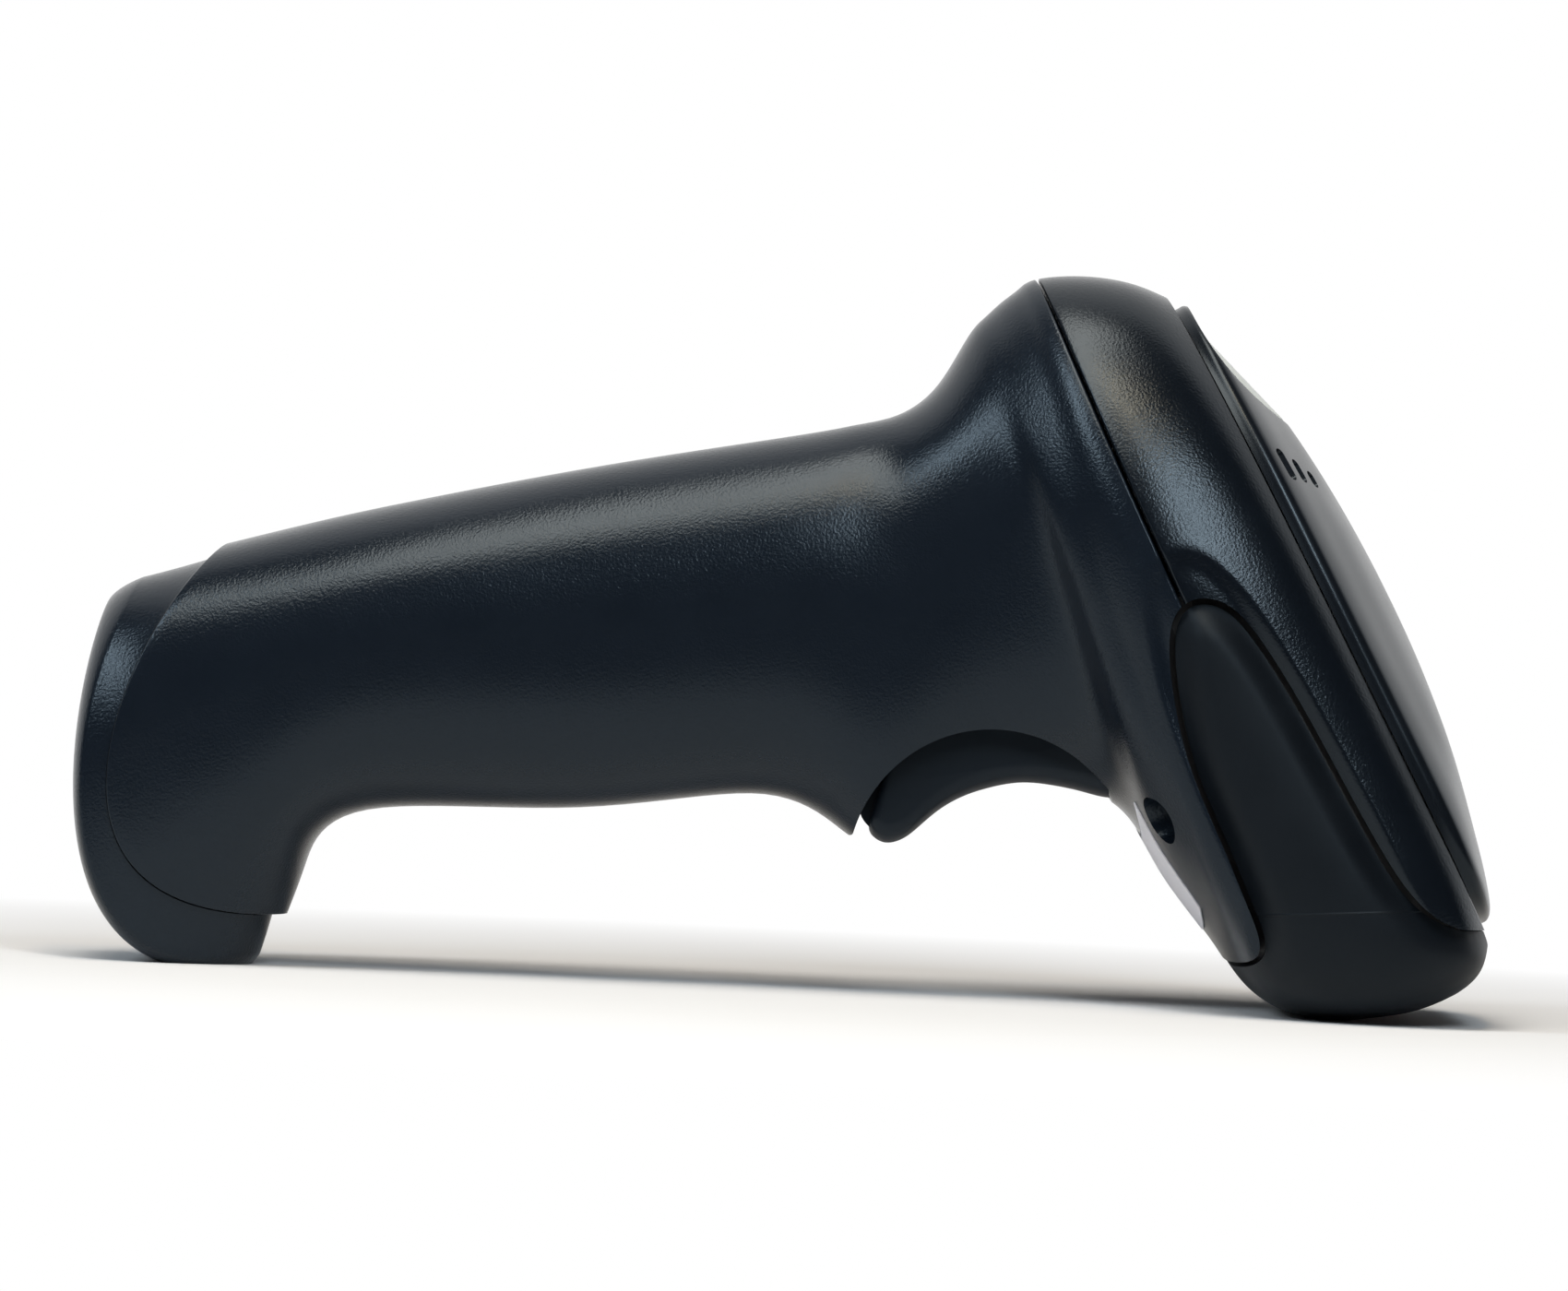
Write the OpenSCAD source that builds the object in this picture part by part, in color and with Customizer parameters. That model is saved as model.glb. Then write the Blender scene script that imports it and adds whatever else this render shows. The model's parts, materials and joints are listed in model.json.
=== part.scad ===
// Handheld barcode scanner: a moulded pistol-grip body split into shells, a rubber nose boot,
// a sprung trigger on a pin, and a laser scan engine with a swinging mirror inside the head.
// Units are millimetres. X runs along the scanner, Z is up, and it stands on its heel and nose.

/* [Body] */
// Width of the handle at its middle
handle_width = 32; // [28:0.5:38]
// Half width of the head at the nose end
nose_half_width = 36; // [32:0.5:40]
// Half width of the head at its crown
crown_half_width = 25; // [22:0.5:28]
// Thickness of the moulded walls
wall = 2.2; // [1.6:0.1:3]
// Width of the seam between the head cover and the rear housing
seam_gap = 0.55; // [0.3:0.05:1]
// Depth of the end cap below the handle surface
cap_step = 1.1; // [0.6:0.1:1.6]
// Radius round the end face of the cap
cap_edge = 4; // [2:0.5:6]
// Radius of the trigger opening in the handle
opening_radius = 17.9; // [17:0.1:19]

/* [Face cover] */
// Height of the face cover above its rim at the middle
face_height = 8.8; // [7:0.1:11]
// Thickness of the face cover
face_wall = 1.8; // [1.2:0.1:2.4]
// Length of the indicator lens down the face
lens_length = 15.5; // [12:0.5:18]
// Width of the indicator lens across the face
lens_width = 18; // [12:0.5:22]
// Width of each beeper slot
slot_width = 1; // [0.6:0.1:1.6]

/* [Nose] */
// Thickness of the rubber boot
boot_wall = 2.3; // [1.6:0.1:3]
// Width of the window opening in the nose
mouth_width = 43; // [36:0.5:48]
// Height of the window opening in the nose
mouth_height = 14; // [10:0.5:16]

/* [Trigger] */
// Width of the trigger
trigger_width = 18; // [16:0.5:19]
// Diameter of the trigger pin
pin_diameter = 2.5; // [2:0.1:3]
// Wire of the trigger spring
spring_wire = 0.5; // [0.4:0.05:0.7]
// Outer diameter of the trigger spring
spring_diameter = 5; // [4:0.1:6]
// Turns of the trigger spring
spring_turns = 5; // [4:1:7]

/* [Cell and board] */
// Diameter of the rechargeable cell
cell_diameter = 18.3; // [14:0.1:18.5]
// Length of the rechargeable cell
cell_length = 50; // [44:0.5:50]
// Thickness of the circuit boards
board_thickness = 1.6; // [1:0.1:2]
// Width of the main board
board_width = 21.5; // [19:0.5:21.5]

/* [Scan engine] */
// Width of the scan engine
engine_width = 28; // [26:0.5:28.5]
// Length of the scanning mirror
mirror_length = 14; // [10:0.5:15]
// Height of the scanning mirror
mirror_height = 10; // [7:0.5:11]
// Diameter of the laser barrel
laser_diameter = 6; // [5:0.1:6.5]

/* [Hidden] */
$fn = 48;
e = 0.01;

shell_black = [0.10, 0.12, 0.14];
cover_black = [0.09, 0.09, 0.10];
rubber_black = [0.07, 0.07, 0.075];
board_green = [0.05, 0.32, 0.20];
metal = [0.75, 0.76, 0.78];

hw = handle_width / 2;
// Angles round a section, closer together near its lower end, where the nose is squarer
HALF_ANGLES = [9, 18, 28, 39, 51, 64, 77, 90, 103, 116, 129, 140, 149, 156, 162, 167, 172.5];
RING_ANGLES = concat([0], HALF_ANGLES, [180], [for (i = [len(HALF_ANGLES) - 1:-1:0]) 360 - HALF_ANGLES[i]]);
ring_points = len(RING_ANGLES);
head_at = [46.9, 87.9];
head_tilt = 61.4;
handle_at = [-20, 44];
handle_tilt = 9.5;

// Body form: each station is a line across the body in the side view, from a top point to a
// bottom point, with half widths at both ends and the fullness of the upper and lower half.
// Square sets how square the lower end is, and slant how far an inset runs along it there.
function station(top, low, w1, w2, n1, n2, square = 2, slant = 1, bow1 = [0, 0], bow2 = [0, 0]) =
  [top, top + (low - top) / 3 + bow1, top + (low - top) * 2 / 3 + bow2, low, [w1, w2], [n1, n2],
    [square, slant]];

STATIONS = [
  station([-72.6, 53.4], [-62.6, 6.6], hw + 1, hw + 1, 2.6, 3, 2, 1, [-15, 3], [-32, -17.5]),
  station([-60, 57.1], [-60.6, 13], hw + 0.8, hw + 0.8, 2.6, 3, 2, 1, [-7, 1], [-13, -6]),
  station([-47, 60.5], [-53, 20.3], hw + 0.4, hw + 0.4, 2.6, 3, 2, 1, [-1, 0], [-2, 0]),
  station([-24, 65.9], [-26, 21.9], hw, hw, 2.6, 3),
  station([-1, 70.6], [-2.5, 24.7], hw, hw - 0.3, 2.6, 3.2),
  station([6.5, 72.3], [8.4, 20], hw + 0.2, hw - 0.3, 2.6, 3.4),
  station([10.8, 73.4], [14, 19.5], hw + 0.3, hw, 2.5, 3.4),
  station([14.4, 75.3], [20, 24], hw + 0.4, hw, 2.5, 3.4),
  station([17.6, 78.9], [29.5, 27.7], hw + 0.8, hw + 0.5, 2.4, 3.4),
  station([20.6, 84.4], [41.7, 25.8], hw + 1.5, hw + 3.6, 2.3, 3.4, 2, 1.4),
  station([22.6, 86.9], [48.5, 17.2], hw + 3.2, hw + 9, 2.2, 3.4, 2, 3.4),
  station([24.6, 88.9], [56, 7.9], crown_half_width - 3.6, nose_half_width - 7.5, 2.2, 4.6, 2.3, 2.8),
  station([26.6, 90.6], [63.9, 0.3], crown_half_width - 1.6, nose_half_width - 5, 2.2, 7, 4, 1.6,
    [-1.3, -0.4], [-1.3, -0.4]),
  station([28.8, 92], [77.3, 0.2], crown_half_width, nose_half_width - 1, 2.2, 8, 5, 1,
    [-2.6, -0.8], [-2.6, -0.8]),
  station([34.6, 92.7], [85.2, 3.2], crown_half_width - 0.3, nose_half_width - 1.6, 2.2, 8, 5, 1,
    [-1.3, -0.4], [-1.3, -0.4]),
  station([40.8, 92.1], [88.5, 6.2], crown_half_width - 1.8, nose_half_width - 3.3, 2.2, 8, 5),
  station([45.5, 90.5], [89.6, 9.5], crown_half_width - 4.6, nose_half_width - 6, 2.2, 8, 4.5)];
seam_s = 13;
front_s = len(STATIONS) - 1;

function mix(a, b, u) = a + (b - a) * u;
function steps(a, b, n) = [for (i = [0:n]) mix(a, b, i / n)];
function catmull(a, b, c, d, u) = 0.5 * (2 * b + (c - a) * u + (2 * a - 5 * b + 4 * c - d) * u * u
  + (3 * b - a - 3 * c + d) * u * u * u);
function spline(k, s) = let (n = len(k) - 1, i = min(floor(s), n - 1))
  catmull(k[max(i - 1, 0)], k[i], k[i + 1], k[min(i + 2, n)], s - i);
function bezier(p, t) = let (q = 1 - t)
  q * q * q * p[0] + 3 * q * q * t * p[1] + 3 * q * t * t * p[2] + t * t * t * p[3];

// One point of a section, at an angle round it, set in from the surface at its sides and ends
function section_point(k, a, side, end) = let (u = -cos(a), t = (1 + u) / 2,
  span = norm(k[3] - k[0]), p = bezier(k, (end + (span - end * (1 + k[6][1])) * t) / span),
  w = mix(k[4][0], k[4][1], t) - side, n = u < 0 ? k[5][0] : k[5][1], m = u < 0 ? 2 : k[6][0])
  [p[0], (a <= 180 ? -1 : 1) * w * pow(max(0, 1 - pow(abs(u), n)), 1 / m), p[1]];
function section(k, side, end) = [for (a = RING_ANGLES) section_point(k, a, side, end)];
function ring(s, side, end) = section(spline(STATIONS, s), side, end);
function rings(list, inset) = [for (s = list) ring(s, inset, inset)];
function reverse(list) = [for (i = [len(list) - 1:-1:0]) list[i]];

// Skin over a list of rings. Every ring joins the next and the last joins the first, except
// after ring number gap, where both open rings are closed straight across the body.
module skin(list, gap) {
  n = len(list);
  m = ring_points;
  points = [for (r = list) for (p = r) p];
  sides = [for (j = [0:n - 1]) if (j != gap) for (i = [0:m - 1])
    let (k = (j + 1) % n, a = j * m + i, b = j * m + (i + 1) % m, c = k * m + (i + 1) % m,
      d = k * m + i) each [[a, d, b], [b, d, c]]];
  function across(j, turn) = [for (i = [0:m / 2 - 1]) let (a = j * m + i, b = j * m + i + 1,
    c = j * m + m - i - 1, d = j * m + (m - i) % m,
    f = i == 0 ? [[a, b, c]] : i == m / 2 - 1 ? [[a, b, d]] : [[a, b, c], [a, c, d]])
    each [for (q = f) turn ? [q[2], q[1], q[0]] : q]];
  ends = gap < 0 ? [] : concat(across(gap, true), across((gap + 1) % n, false));
  polyhedron(points, concat(sides, ends));
}

module solid_body(list, side, end) {
  skin([for (s = list) ring(s, side, end)], len(list) - 1);
}

module in_head() {
  translate([head_at[0], 0, head_at[1]]) rotate([0, head_tilt, 0]) children();
}

function on_handle(u, w) = handle_at + [u * cos(handle_tilt) - w * sin(handle_tilt),
  u * sin(handle_tilt) + w * cos(handle_tilt)];

module in_handle() {
  translate([handle_at[0], 0, handle_at[1]]) rotate([0, -handle_tilt, 0]) children();
}

// Side-view outline carried across the whole width
module across_body(outline, half = 45) {
  translate([0, half, 0]) rotate([90, 0, 0]) linear_extrude(2 * half) polygon(outline);
}

module rounded_bar(length, width, radius, height) {
  linear_extrude(height) hull_free_bar(length, width, radius);
}

module hull_free_bar(length, width, radius) {
  union() {
    square([length - 2 * radius, width], center = true);
    square([length, width - 2 * radius], center = true);
    for (x = [-1, 1], y = [-1, 1])
      translate([x * (length / 2 - radius), y * (width / 2 - radius)]) circle(radius);
  }
}

// Boot outline in the side view: nose, ear up the side of the head, and back to the underside
BOOT_KEYS = [[84.6, 12.5], [81, 14], [77, 17.6], [72.6, 24], [68, 31.6], [63.6, 38.9],
  [59.4, 45.2], [55.4, 50], [52, 51.8], [49.2, 51.4], [47.4, 48.8], [47.5, 43], [49.4, 34.4],
  [52.2, 27.2], [55.5, 20.4], [58, 15], [60, 10.4], [59.8, 7.6], [57.4, 6.4]];
function boot_outline(grow, skip = 0) = let (n = len(BOOT_KEYS) - 1 - skip,
  line = [for (i = [0:n * 3]) spline(BOOT_KEYS, min(i / 3, n - e))], count = len(line))
  concat([for (i = [0:count - 1]) let (d = line[min(i + 1, count - 1)] - line[max(i - 1, 0)],
    l = norm(d)) line[i] + grow * [d[1], -d[0]] / l], [[48, 2], [48, -6], [98, -6],
    [98, 12.2 + grow]]);

cell_w = 1.2;
board_top = -9.5;
pin_at = [38.5, 32.3];
spring_at = [28.5, 0];
spring_low = 34.2;
spring_high = 39.6;
switch_u = 38.5;
flex_u = 46;
logic_u = flex_u - 12.8;
screw_h = 56;
screw_y = 20.4;
beam_d = -14.5;
mouth_d = -12.8;

module rear_housing() color(shell_black) difference() {
  union() {
    difference() {
      skin(concat(rings(concat(steps(0, 4, 10), steps(4.3, 9, 13), steps(9.3, seam_s, 11)), 0),
        reverse(rings(concat(steps(0, 4, 6), steps(4.5, 9, 8), steps(9.4, seam_s, 8)), wall))), -1);
      across_body(boot_outline(0.3));
    }
    in_handle() {
      for (y = [-8.5, 8.5]) translate([-38, y, board_top - board_thickness - 4.6])
        cylinder(d = 5, h = 4.6);
      for (y = [-1, 1]) translate([20, y > 0 ? 9.5 : -15, board_top - board_thickness - 3])
        cube([6, 5.5, 3]);
    }
    intersection() {
      in_head() for (y = [-1, 1]) translate([screw_h, y * screw_y, -44]) cylinder(d = 9, h = 27.5);
      solid_body(steps(9.5, seam_s, 4), 0.4, 0.4);
    }
  }
  translate([26.4, 45, 16.6]) rotate([90, 0, 0]) cylinder(r = opening_radius, h = 90, $fn = 96);
  translate([pin_at[0], 11.6, pin_at[1]]) rotate([90, 0, 0]) cylinder(d = pin_diameter, h = 23.2);
  translate([pin_at[0], trigger_width / 2 + 0.4, pin_at[1]]) rotate([90, 0, 0])
    cylinder(r = 7.4, h = trigger_width + 0.8);
  in_handle() for (y = [-8.5, 8.5]) translate([-38, y, board_top - board_thickness - 3.8])
    cylinder(d = 1.7, h = 6);
  in_head() for (y = [-1, 1]) translate([screw_h, y * screw_y, -45]) {
    cylinder(d = 6.6, h = 26.5);
    cylinder(d = 2.8, h = 40);
  }
}

module head_cover() color(cover_black) difference() {
  union() {
    skin(concat(rings(concat([seam_s + 0.06], steps(seam_s + 0.35, front_s, 9)), 0),
      reverse(rings(concat([seam_s + 0.06], steps(seam_s + 0.6, front_s - 0.7, 4)), wall))), 10);
    in_head() {
      for (y = [-1, 1]) translate([screw_h, y * screw_y, -16.4]) cylinder(d = 6.5, h = 15);
      for (h = [34, 69], y = [-11.5, 11.5]) translate([h, y, -4.6]) cylinder(d = 4.6, h = 3.6);
    }
  }
  across_body(boot_outline(0.3));
  in_head() {
    for (y = [-1, 1]) translate([screw_h, y * screw_y, -17]) cylinder(d = 2.3, h = 12);
    for (h = [34, 69], y = [-11.5, 11.5]) translate([h, y, -5]) cylinder(d = 1.7, h = 4.2);
    translate([6.6, -2.6, -8]) cube([2.6, 5.2, 10]);
  }
}

// Face cover surface: rings of the rim outline drawn in towards the middle of the face
FACE_RINGS = [[1, 0.25], [1, 1.5], [0.987, 2.2], [0.95, 2.9], [0.87, 3.9], [0.75, 5.1],
  [0.6, 6.5], [0.44, 7.6], [0.26, 8.4], [0.1, 8.8]];
face_mid = 42;
function face_ring(f, drop, margin) = [for (a = RING_ANGLES)
  let (u = -cos(a), t = (1 + u) / 2,
    w = mix(crown_half_width - 5.9, nose_half_width - 6.6, t) - margin,
    y = (a <= 180 ? -1 : 1) * w * pow(max(0, 1 - pow(abs(u), u < 0 ? 2.3 : 7)), u < 0 ? 0.5 : 0.33),
    h = mix(-1 + margin, 86.1 - margin, t))
  [mix(face_mid, h, f[0]), y * f[0], max(0.25, f[1] * face_height / 8.8 - drop)]];

module face_form(drop, margin) {
  skin([for (f = FACE_RINGS) face_ring(f, drop, margin)], len(FACE_RINGS) - 1);
}

// Frame of the indicator lens: the middle of its seat, leaning with the top of the face
module in_lens() {
  in_head() translate([10.6, 0, 4.4]) rotate([0, -17.7, 0]) children();
}

module lens_prism(grow, low, high) {
  translate([0, 0, low]) linear_extrude(high - low)
    scale([lens_length / lens_width, 1]) circle(d = lens_width + 2 * grow, $fn = 64);
}

module face_cover() color(cover_black) difference() {
  in_head() difference() {
    face_form(0, 0);
    translate([0, 0, -e]) face_form(face_wall, face_wall);
    for (s = [-1, 1]) for (k = [[11.8, 26, 2.5], [14.6, 24.3, 3.5], [17.4, 22.8, 4.7]])
      translate([k[1] - k[2] / 2, s * k[0] - slot_width / 2, 1.2]) cube([k[2], slot_width, 10]);
  }
  in_lens() {
    translate([0, 20, 27.7]) rotate([90, 0, 0]) cylinder(r = 29, h = 40, $fn = 160);
    lens_prism(0.25, -8, 8);
  }
}

// Lens crowned across the face, standing a little proud of its scooped seat
module indicator_lens() color([0.86, 0.89, 0.93]) in_lens() intersection() {
  lens_prism(0, -2, 2);
  translate([-20, 0, -23]) rotate([0, 90, 0]) cylinder(r = 23, h = 40, $fn = 160);
}

// Frame of the mouth: the middle of the nose rim, with X pointing out of it
module in_mouth() {
  in_head() translate([90.2, 0, mouth_d]) rotate([0, 10.3, 0]) children();
}

module mouth(grow, low, high) {
  in_mouth() translate([low, 0, 0]) rotate([0, 90, 0])
    rounded_bar(mouth_height + 2 * grow, mouth_width + 2 * grow, 5, high - low);
}

module nose_boot() color(rubber_black) difference() {
  intersection() {
    solid_body(steps(9.6, front_s, 18), 0.45, 0.4);
    across_body(boot_outline(0));
  }
  intersection() {
    solid_body(steps(9.4, front_s - 0.2, 12), boot_wall, boot_wall);
    in_mouth() translate([-104.6, -45, -50]) cube([100, 90, 100]);
  }
  mouth(0, -12, 10);
}

module nose_frame() color(cover_black) difference() {
  intersection() {
    solid_body(steps(9.6, front_s - 0.25, 12), boot_wall + 0.9, boot_wall + 0.55);
    across_body(boot_outline(1.4, 3));
    in_head() translate([-20, -45, -60]) cube([120, 90, 57.2]);
    in_mouth() translate([-104.8, -45, -50]) cube([100, 90, 100]);
  }
  intersection() {
    solid_body(steps(9.4, front_s, 9), boot_wall + 2, boot_wall + 2);
    in_mouth() translate([-108.6, -45, -50]) cube([100, 90, 100]);
  }
  mouth(-1.2, -20, 10);
  mouth(1.6, -6.7, 10);
  in_head() for (y = [-1, 1]) translate([screw_h, y * screw_y, -45]) cylinder(d = 9.8, h = 30);
}

module window_gasket() color([0.05, 0.05, 0.05]) difference() {
  mouth(1.5, -6.65, -6.1);
  mouth(-1, -20, 10);
}

module scan_window() color([0.45, 0.08, 0.08, 0.6]) mouth(1.45, -6.05, -4.7);

// End cap: sections run from the seam to a bowed end line, then in round the edge of the end face
CAP_SEAM = spline(STATIONS, 0);
CAP_END = station([-86.6, 47.6], [-66.5, -0.5], hw, hw, 2.6, 3, 2, 1, [-11.4, 0.4], [-22.4, -21.2]);
function cap_key(f, slant = 1) = concat([for (i = [0:5]) mix(CAP_SEAM[i], CAP_END[i], f)],
  [[2, slant]]);
function cap_outer() = concat([ring(0.5, wall + 0.25, wall + 0.25), ring(0, wall + 0.25, wall + 0.25)],
  [for (f = [0.055, 0.2, 0.4, 0.58]) section(cap_key(f, 0.4), cap_step, 2.2 * (1 - f))],
  [for (a = [0:18:72]) section(cap_key(0.72 + 0.28 * sin(a), 0.4), cap_step + cap_edge * (1 - cos(a)),
    0.5 + cap_edge * (1 - cos(a)) * 0.4)],
  [section(cap_key(1, 0.4), cap_step + cap_edge, 0.5 + cap_edge * 0.4)]);
function cap_inner() = concat([ring(0.5, wall + 1.8, wall + 1.8)],
  [for (f = [0.02, 0.3, 0.55]) section(cap_key(f), wall + 1.8, wall + 1.8)],
  [section(cap_key(0.74), wall + 3.2, wall + 3.2)]);

module end_cap() color(shell_black) difference() {
  skin(concat(cap_inner(), reverse(cap_outer())), len(cap_inner()) - 1);
  in_handle() translate([-75, 0, board_top + 1.6]) rotate([0, 90, 0])
    rounded_bar(5, 11, 2.2, 20);
  translate([-100, 0, 24.4]) rotate([0, 90, 0]) rounded_bar(7.6, 13.6, 3, 11);
  translate([-100, -40, -10]) cube([60, 80, 10]);
}

// Side-view outline of the trigger. Its right end is round about the pin, so it turns in place.
TRIGGER_KEYS = [[13.4, 16], [13.4, 19.2], [11.9, 19.8], [10.9, 20.7], [11.1, 22], [11.5, 23.2], [11.9, 25.5],
  [12.6, 29], [14.4, 32], [17, 33.6], [20, 34.6], [24, 35.4], [37, 36.4], [41, 35.6], [43.2, 32], [43.9, 28],
  [43.4, 27.4], [42.6, 26.7], [41.3, 26], [41.2, 16]];

// Tongue of the trigger behind the lip of its opening, which hides the gap and stops dust
TONGUE_KEYS = [[13.2, 27.8], [8.7, 27.2], [8.7, 23.4], [9.7, 22.8], [12.6, 22.8]];

module trigger() color([0.08, 0.075, 0.075]) difference() {
  union() {
    intersection() {
      solid_body(steps(4.8, 10.2, 14), wall + 1.4, 0);
      across_body(TRIGGER_KEYS, trigger_width / 2);
    }
    across_body(TONGUE_KEYS, 4);
  }
  translate([pin_at[0], 40, pin_at[1]]) rotate([90, 0, 0])
    cylinder(d = pin_diameter + 0.1, h = 80);
  translate([spring_at[0], 0, spring_low - 0.05]) cylinder(d = spring_diameter + 1, h = 10);
}

module trigger_pin() color(metal) translate([pin_at[0], 11.5, pin_at[1]]) rotate([90, 0, 0])
  cylinder(d = pin_diameter - 0.06, h = 23);

// Coil of round wire, drawn as a tube swept up a helix
module trigger_spring() color(metal) {
  r = (spring_diameter - spring_wire) / 2;
  rise = spring_high - spring_low - spring_wire;
  around = 6;
  turn_steps = 12;
  n = spring_turns * turn_steps;
  points = [for (i = [0:n]) for (j = [0:around - 1]) let (a = 360 * i / turn_steps,
    b = 360 * j / around, q = r + spring_wire / 2 * cos(b))
    [spring_at[0] + q * cos(a), q * sin(a),
      spring_low + spring_wire / 2 + rise * i / n + spring_wire / 2 * sin(b)]];
  faces = concat([[for (j = [0:around - 1]) j]],
    [for (i = [0:n - 1]) for (j = [0:around - 1]) let (k = (j + 1) % around) each
      [[i * around + j, (i + 1) * around + j, i * around + k],
       [i * around + k, (i + 1) * around + j, (i + 1) * around + k]]],
    [[for (j = [around - 1:-1:0]) n * around + j]]);
  polyhedron(points, faces);
}

module spring_seat() color(cover_black) intersection() {
  translate([spring_at[0], 0, spring_high]) cylinder(d = spring_diameter + 1, h = 8);
  in_handle() translate([30, -10, -40 + board_top - board_thickness]) cube([30, 20, 40]);
}

module trigger_switch() color([0.13, 0.13, 0.14]) in_handle() difference() {
  translate([switch_u - 3, -3, board_top - board_thickness - 2.6]) cube([6, 6, 2.6]);
  translate([switch_u, 0, board_top - board_thickness - 3]) cylinder(d = 3.6, h = 2.6);
}

module switch_plunger() color([0.75, 0.2, 0.15]) in_handle()
  translate([switch_u, 0, board_top - board_thickness - 4.7]) cylinder(d = 3.3, h = 2.7);

module case_screws() color(metal) in_head() for (y = [-1, 1])
  translate([screw_h, y * screw_y, -20.4]) difference() {
    union() {
      cylinder(d = 5, h = 1.9);
      cylinder(d = 2.2, h = 14);
    }
    for (a = [0, 90]) rotate(a) translate([-1.4, -0.3, -e]) cube([2.8, 0.6, 1]);
  }

module main_board() color(board_green) in_handle() difference() {
  translate([-66, -board_width / 2, board_top - board_thickness])
    cube([116, board_width, board_thickness]);
  for (y = [-8.5, 8.5]) translate([-38, y, board_top - 5]) cylinder(d = 2.2, h = 10);
  for (y = [-1, 1]) translate([44, y * 10.75 - 2, board_top - 5]) cube([14, 4, 10]);
}

module board_screws() color(metal) in_handle() for (y = [-8.5, 8.5]) translate([-38, y, board_top])
  difference() {
    union() {
      cylinder(d = 3.6, h = 1.4);
      translate([0, 0, -5]) cylinder(d = 1.6, h = 6);
    }
    for (a = [0, 90]) rotate(a) translate([-1, -0.25, 0.8]) cube([2, 0.5, 1]);
  }

cell_u = -27;
module battery_holder() color(cover_black) in_handle() difference() {
  translate([cell_u - 3.2, -10.7, board_top]) cube([cell_length + 6.4, 21.4, 12]);
  translate([cell_u - 1.7, -9.5, board_top + 1.3]) cube([cell_length + 3.4, 19, 20]);
  translate([cell_u + 6, -15, board_top + 5]) cube([cell_length - 12, 30, 20]);
}

module battery_cell() color([0.12, 0.32, 0.62]) in_handle() translate([cell_u, 0, cell_w])
  rotate([0, 90, 0]) {
    cylinder(d = cell_diameter, h = cell_length);
    translate([0, 0, cell_length - e]) cylinder(d = 5.6, h = 0.9);
  }

module cell_contacts() color(metal) in_handle() {
  translate([cell_u - 1.6, -5, cell_w - 6]) cube([1.5, 10, 8]);
  translate([cell_u + cell_length + 1, -5, cell_w - 6]) cube([0.6, 10, 8]);
}

module charge_port() color(metal) in_handle() translate([-69, 0, board_top + 1.65])
  rotate([0, 90, 0]) {
    difference() {
      rounded_bar(3.2, 9, 1.5, 7.4);
      translate([0, 0, -e]) rounded_bar(2.5, 8.3, 1.2, 6.4);
    }
    translate([-0.35, -3.3, 1]) cube([0.7, 6.6, 6]);
  }

module charging_parts() color([0.10, 0.10, 0.11]) in_handle() {
  translate([-55, -6, board_top]) cube([5, 5, 1]);
  translate([-55, 2, board_top]) cube([6, 6, 2.8]);
  translate([-47, -8, board_top]) cube([3.2, 1.6, 1.2]);
  translate([-47, -4, board_top]) cube([3.2, 1.6, 1.2]);
  translate([-46, 1, board_top]) cube([2, 4.5, 1.4]);
}

module decoder_chip() color([0.09, 0.09, 0.10]) in_handle()
  translate([logic_u, -5, board_top]) cube([7.5, 10, 1.3]);

module radio_module() color(metal) in_handle() {
  translate([logic_u, 5.6, board_top]) cube([8, 5, 2]);
  translate([logic_u + 8.8, -4.5, board_top]) cube([3.2, 9, 1.6]);
}

module flex_sockets() color([0.85, 0.83, 0.76]) {
  in_handle() translate([flex_u, -6, board_top]) cube([3.4, 12, 1.6]);
  in_head() translate([31.6, -6, -25.6 - 1.6]) cube([3.4, 12, 1.6]);
  in_head() translate([31.7, -3, -24]) cube([2.8, 6, 1.3]);
}

// Ribbon: a side-view line given thickness and carried across its width
module ribbon(keys, width, thick) {
  n = len(keys) - 1;
  line = [for (i = [0:n * 5]) spline(keys, min(i / 5, n - e))];
  c = len(line);
  function off(i, s) = let (d = line[min(i + 1, c - 1)] - line[max(i - 1, 0)])
    line[i] + s * thick / 2 * [-d[1], d[0]] / norm(d);
  translate([0, width / 2, 0]) rotate([90, 0, 0]) linear_extrude(width)
    polygon(concat([for (i = [0:c - 1]) off(i, 1)], [for (i = [c - 1:-1:0]) off(i, -1)]));
}

module engine_flex() color([0.72, 0.47, 0.14])
  ribbon([on_handle(flex_u + 3.5, board_top + 0.8), on_handle(flex_u + 5.75, board_top + 1.25), [33.4, 48],
    [34.4, 50.8], [36.6, 51.2], [38.72, 47.75]], 9, 0.3);

module indicator_board() color(board_green) in_head()
  translate([9.4, -7.5, 0.1]) cube([24, 15, 1.2]);

module status_leds() color([0.95, 0.95, 0.85]) in_head()
  for (y = [-4, 4]) translate([10.2, y - 1.4, 1.3]) cube([3.5, 2.8, 0.7]);

module beeper() color([0.07, 0.07, 0.07]) in_head() translate([25.6, 0, 1.3]) difference() {
  cylinder(d = 12, h = 3);
  translate([0, 0, 2]) cylinder(d = 2.4, h = 2);
}

module indicator_flex() color([0.72, 0.47, 0.14]) in_head()
  ribbon([[12.6, 1.5], [9.4, 1.6], [7.9, 0.6], [7.8, -2.5], [8.2, -8], [11.5, -14.4], [18, -19.6],
    [26, -22.8], [31.6, -23.4]], 3.6, 0.3);

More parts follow.
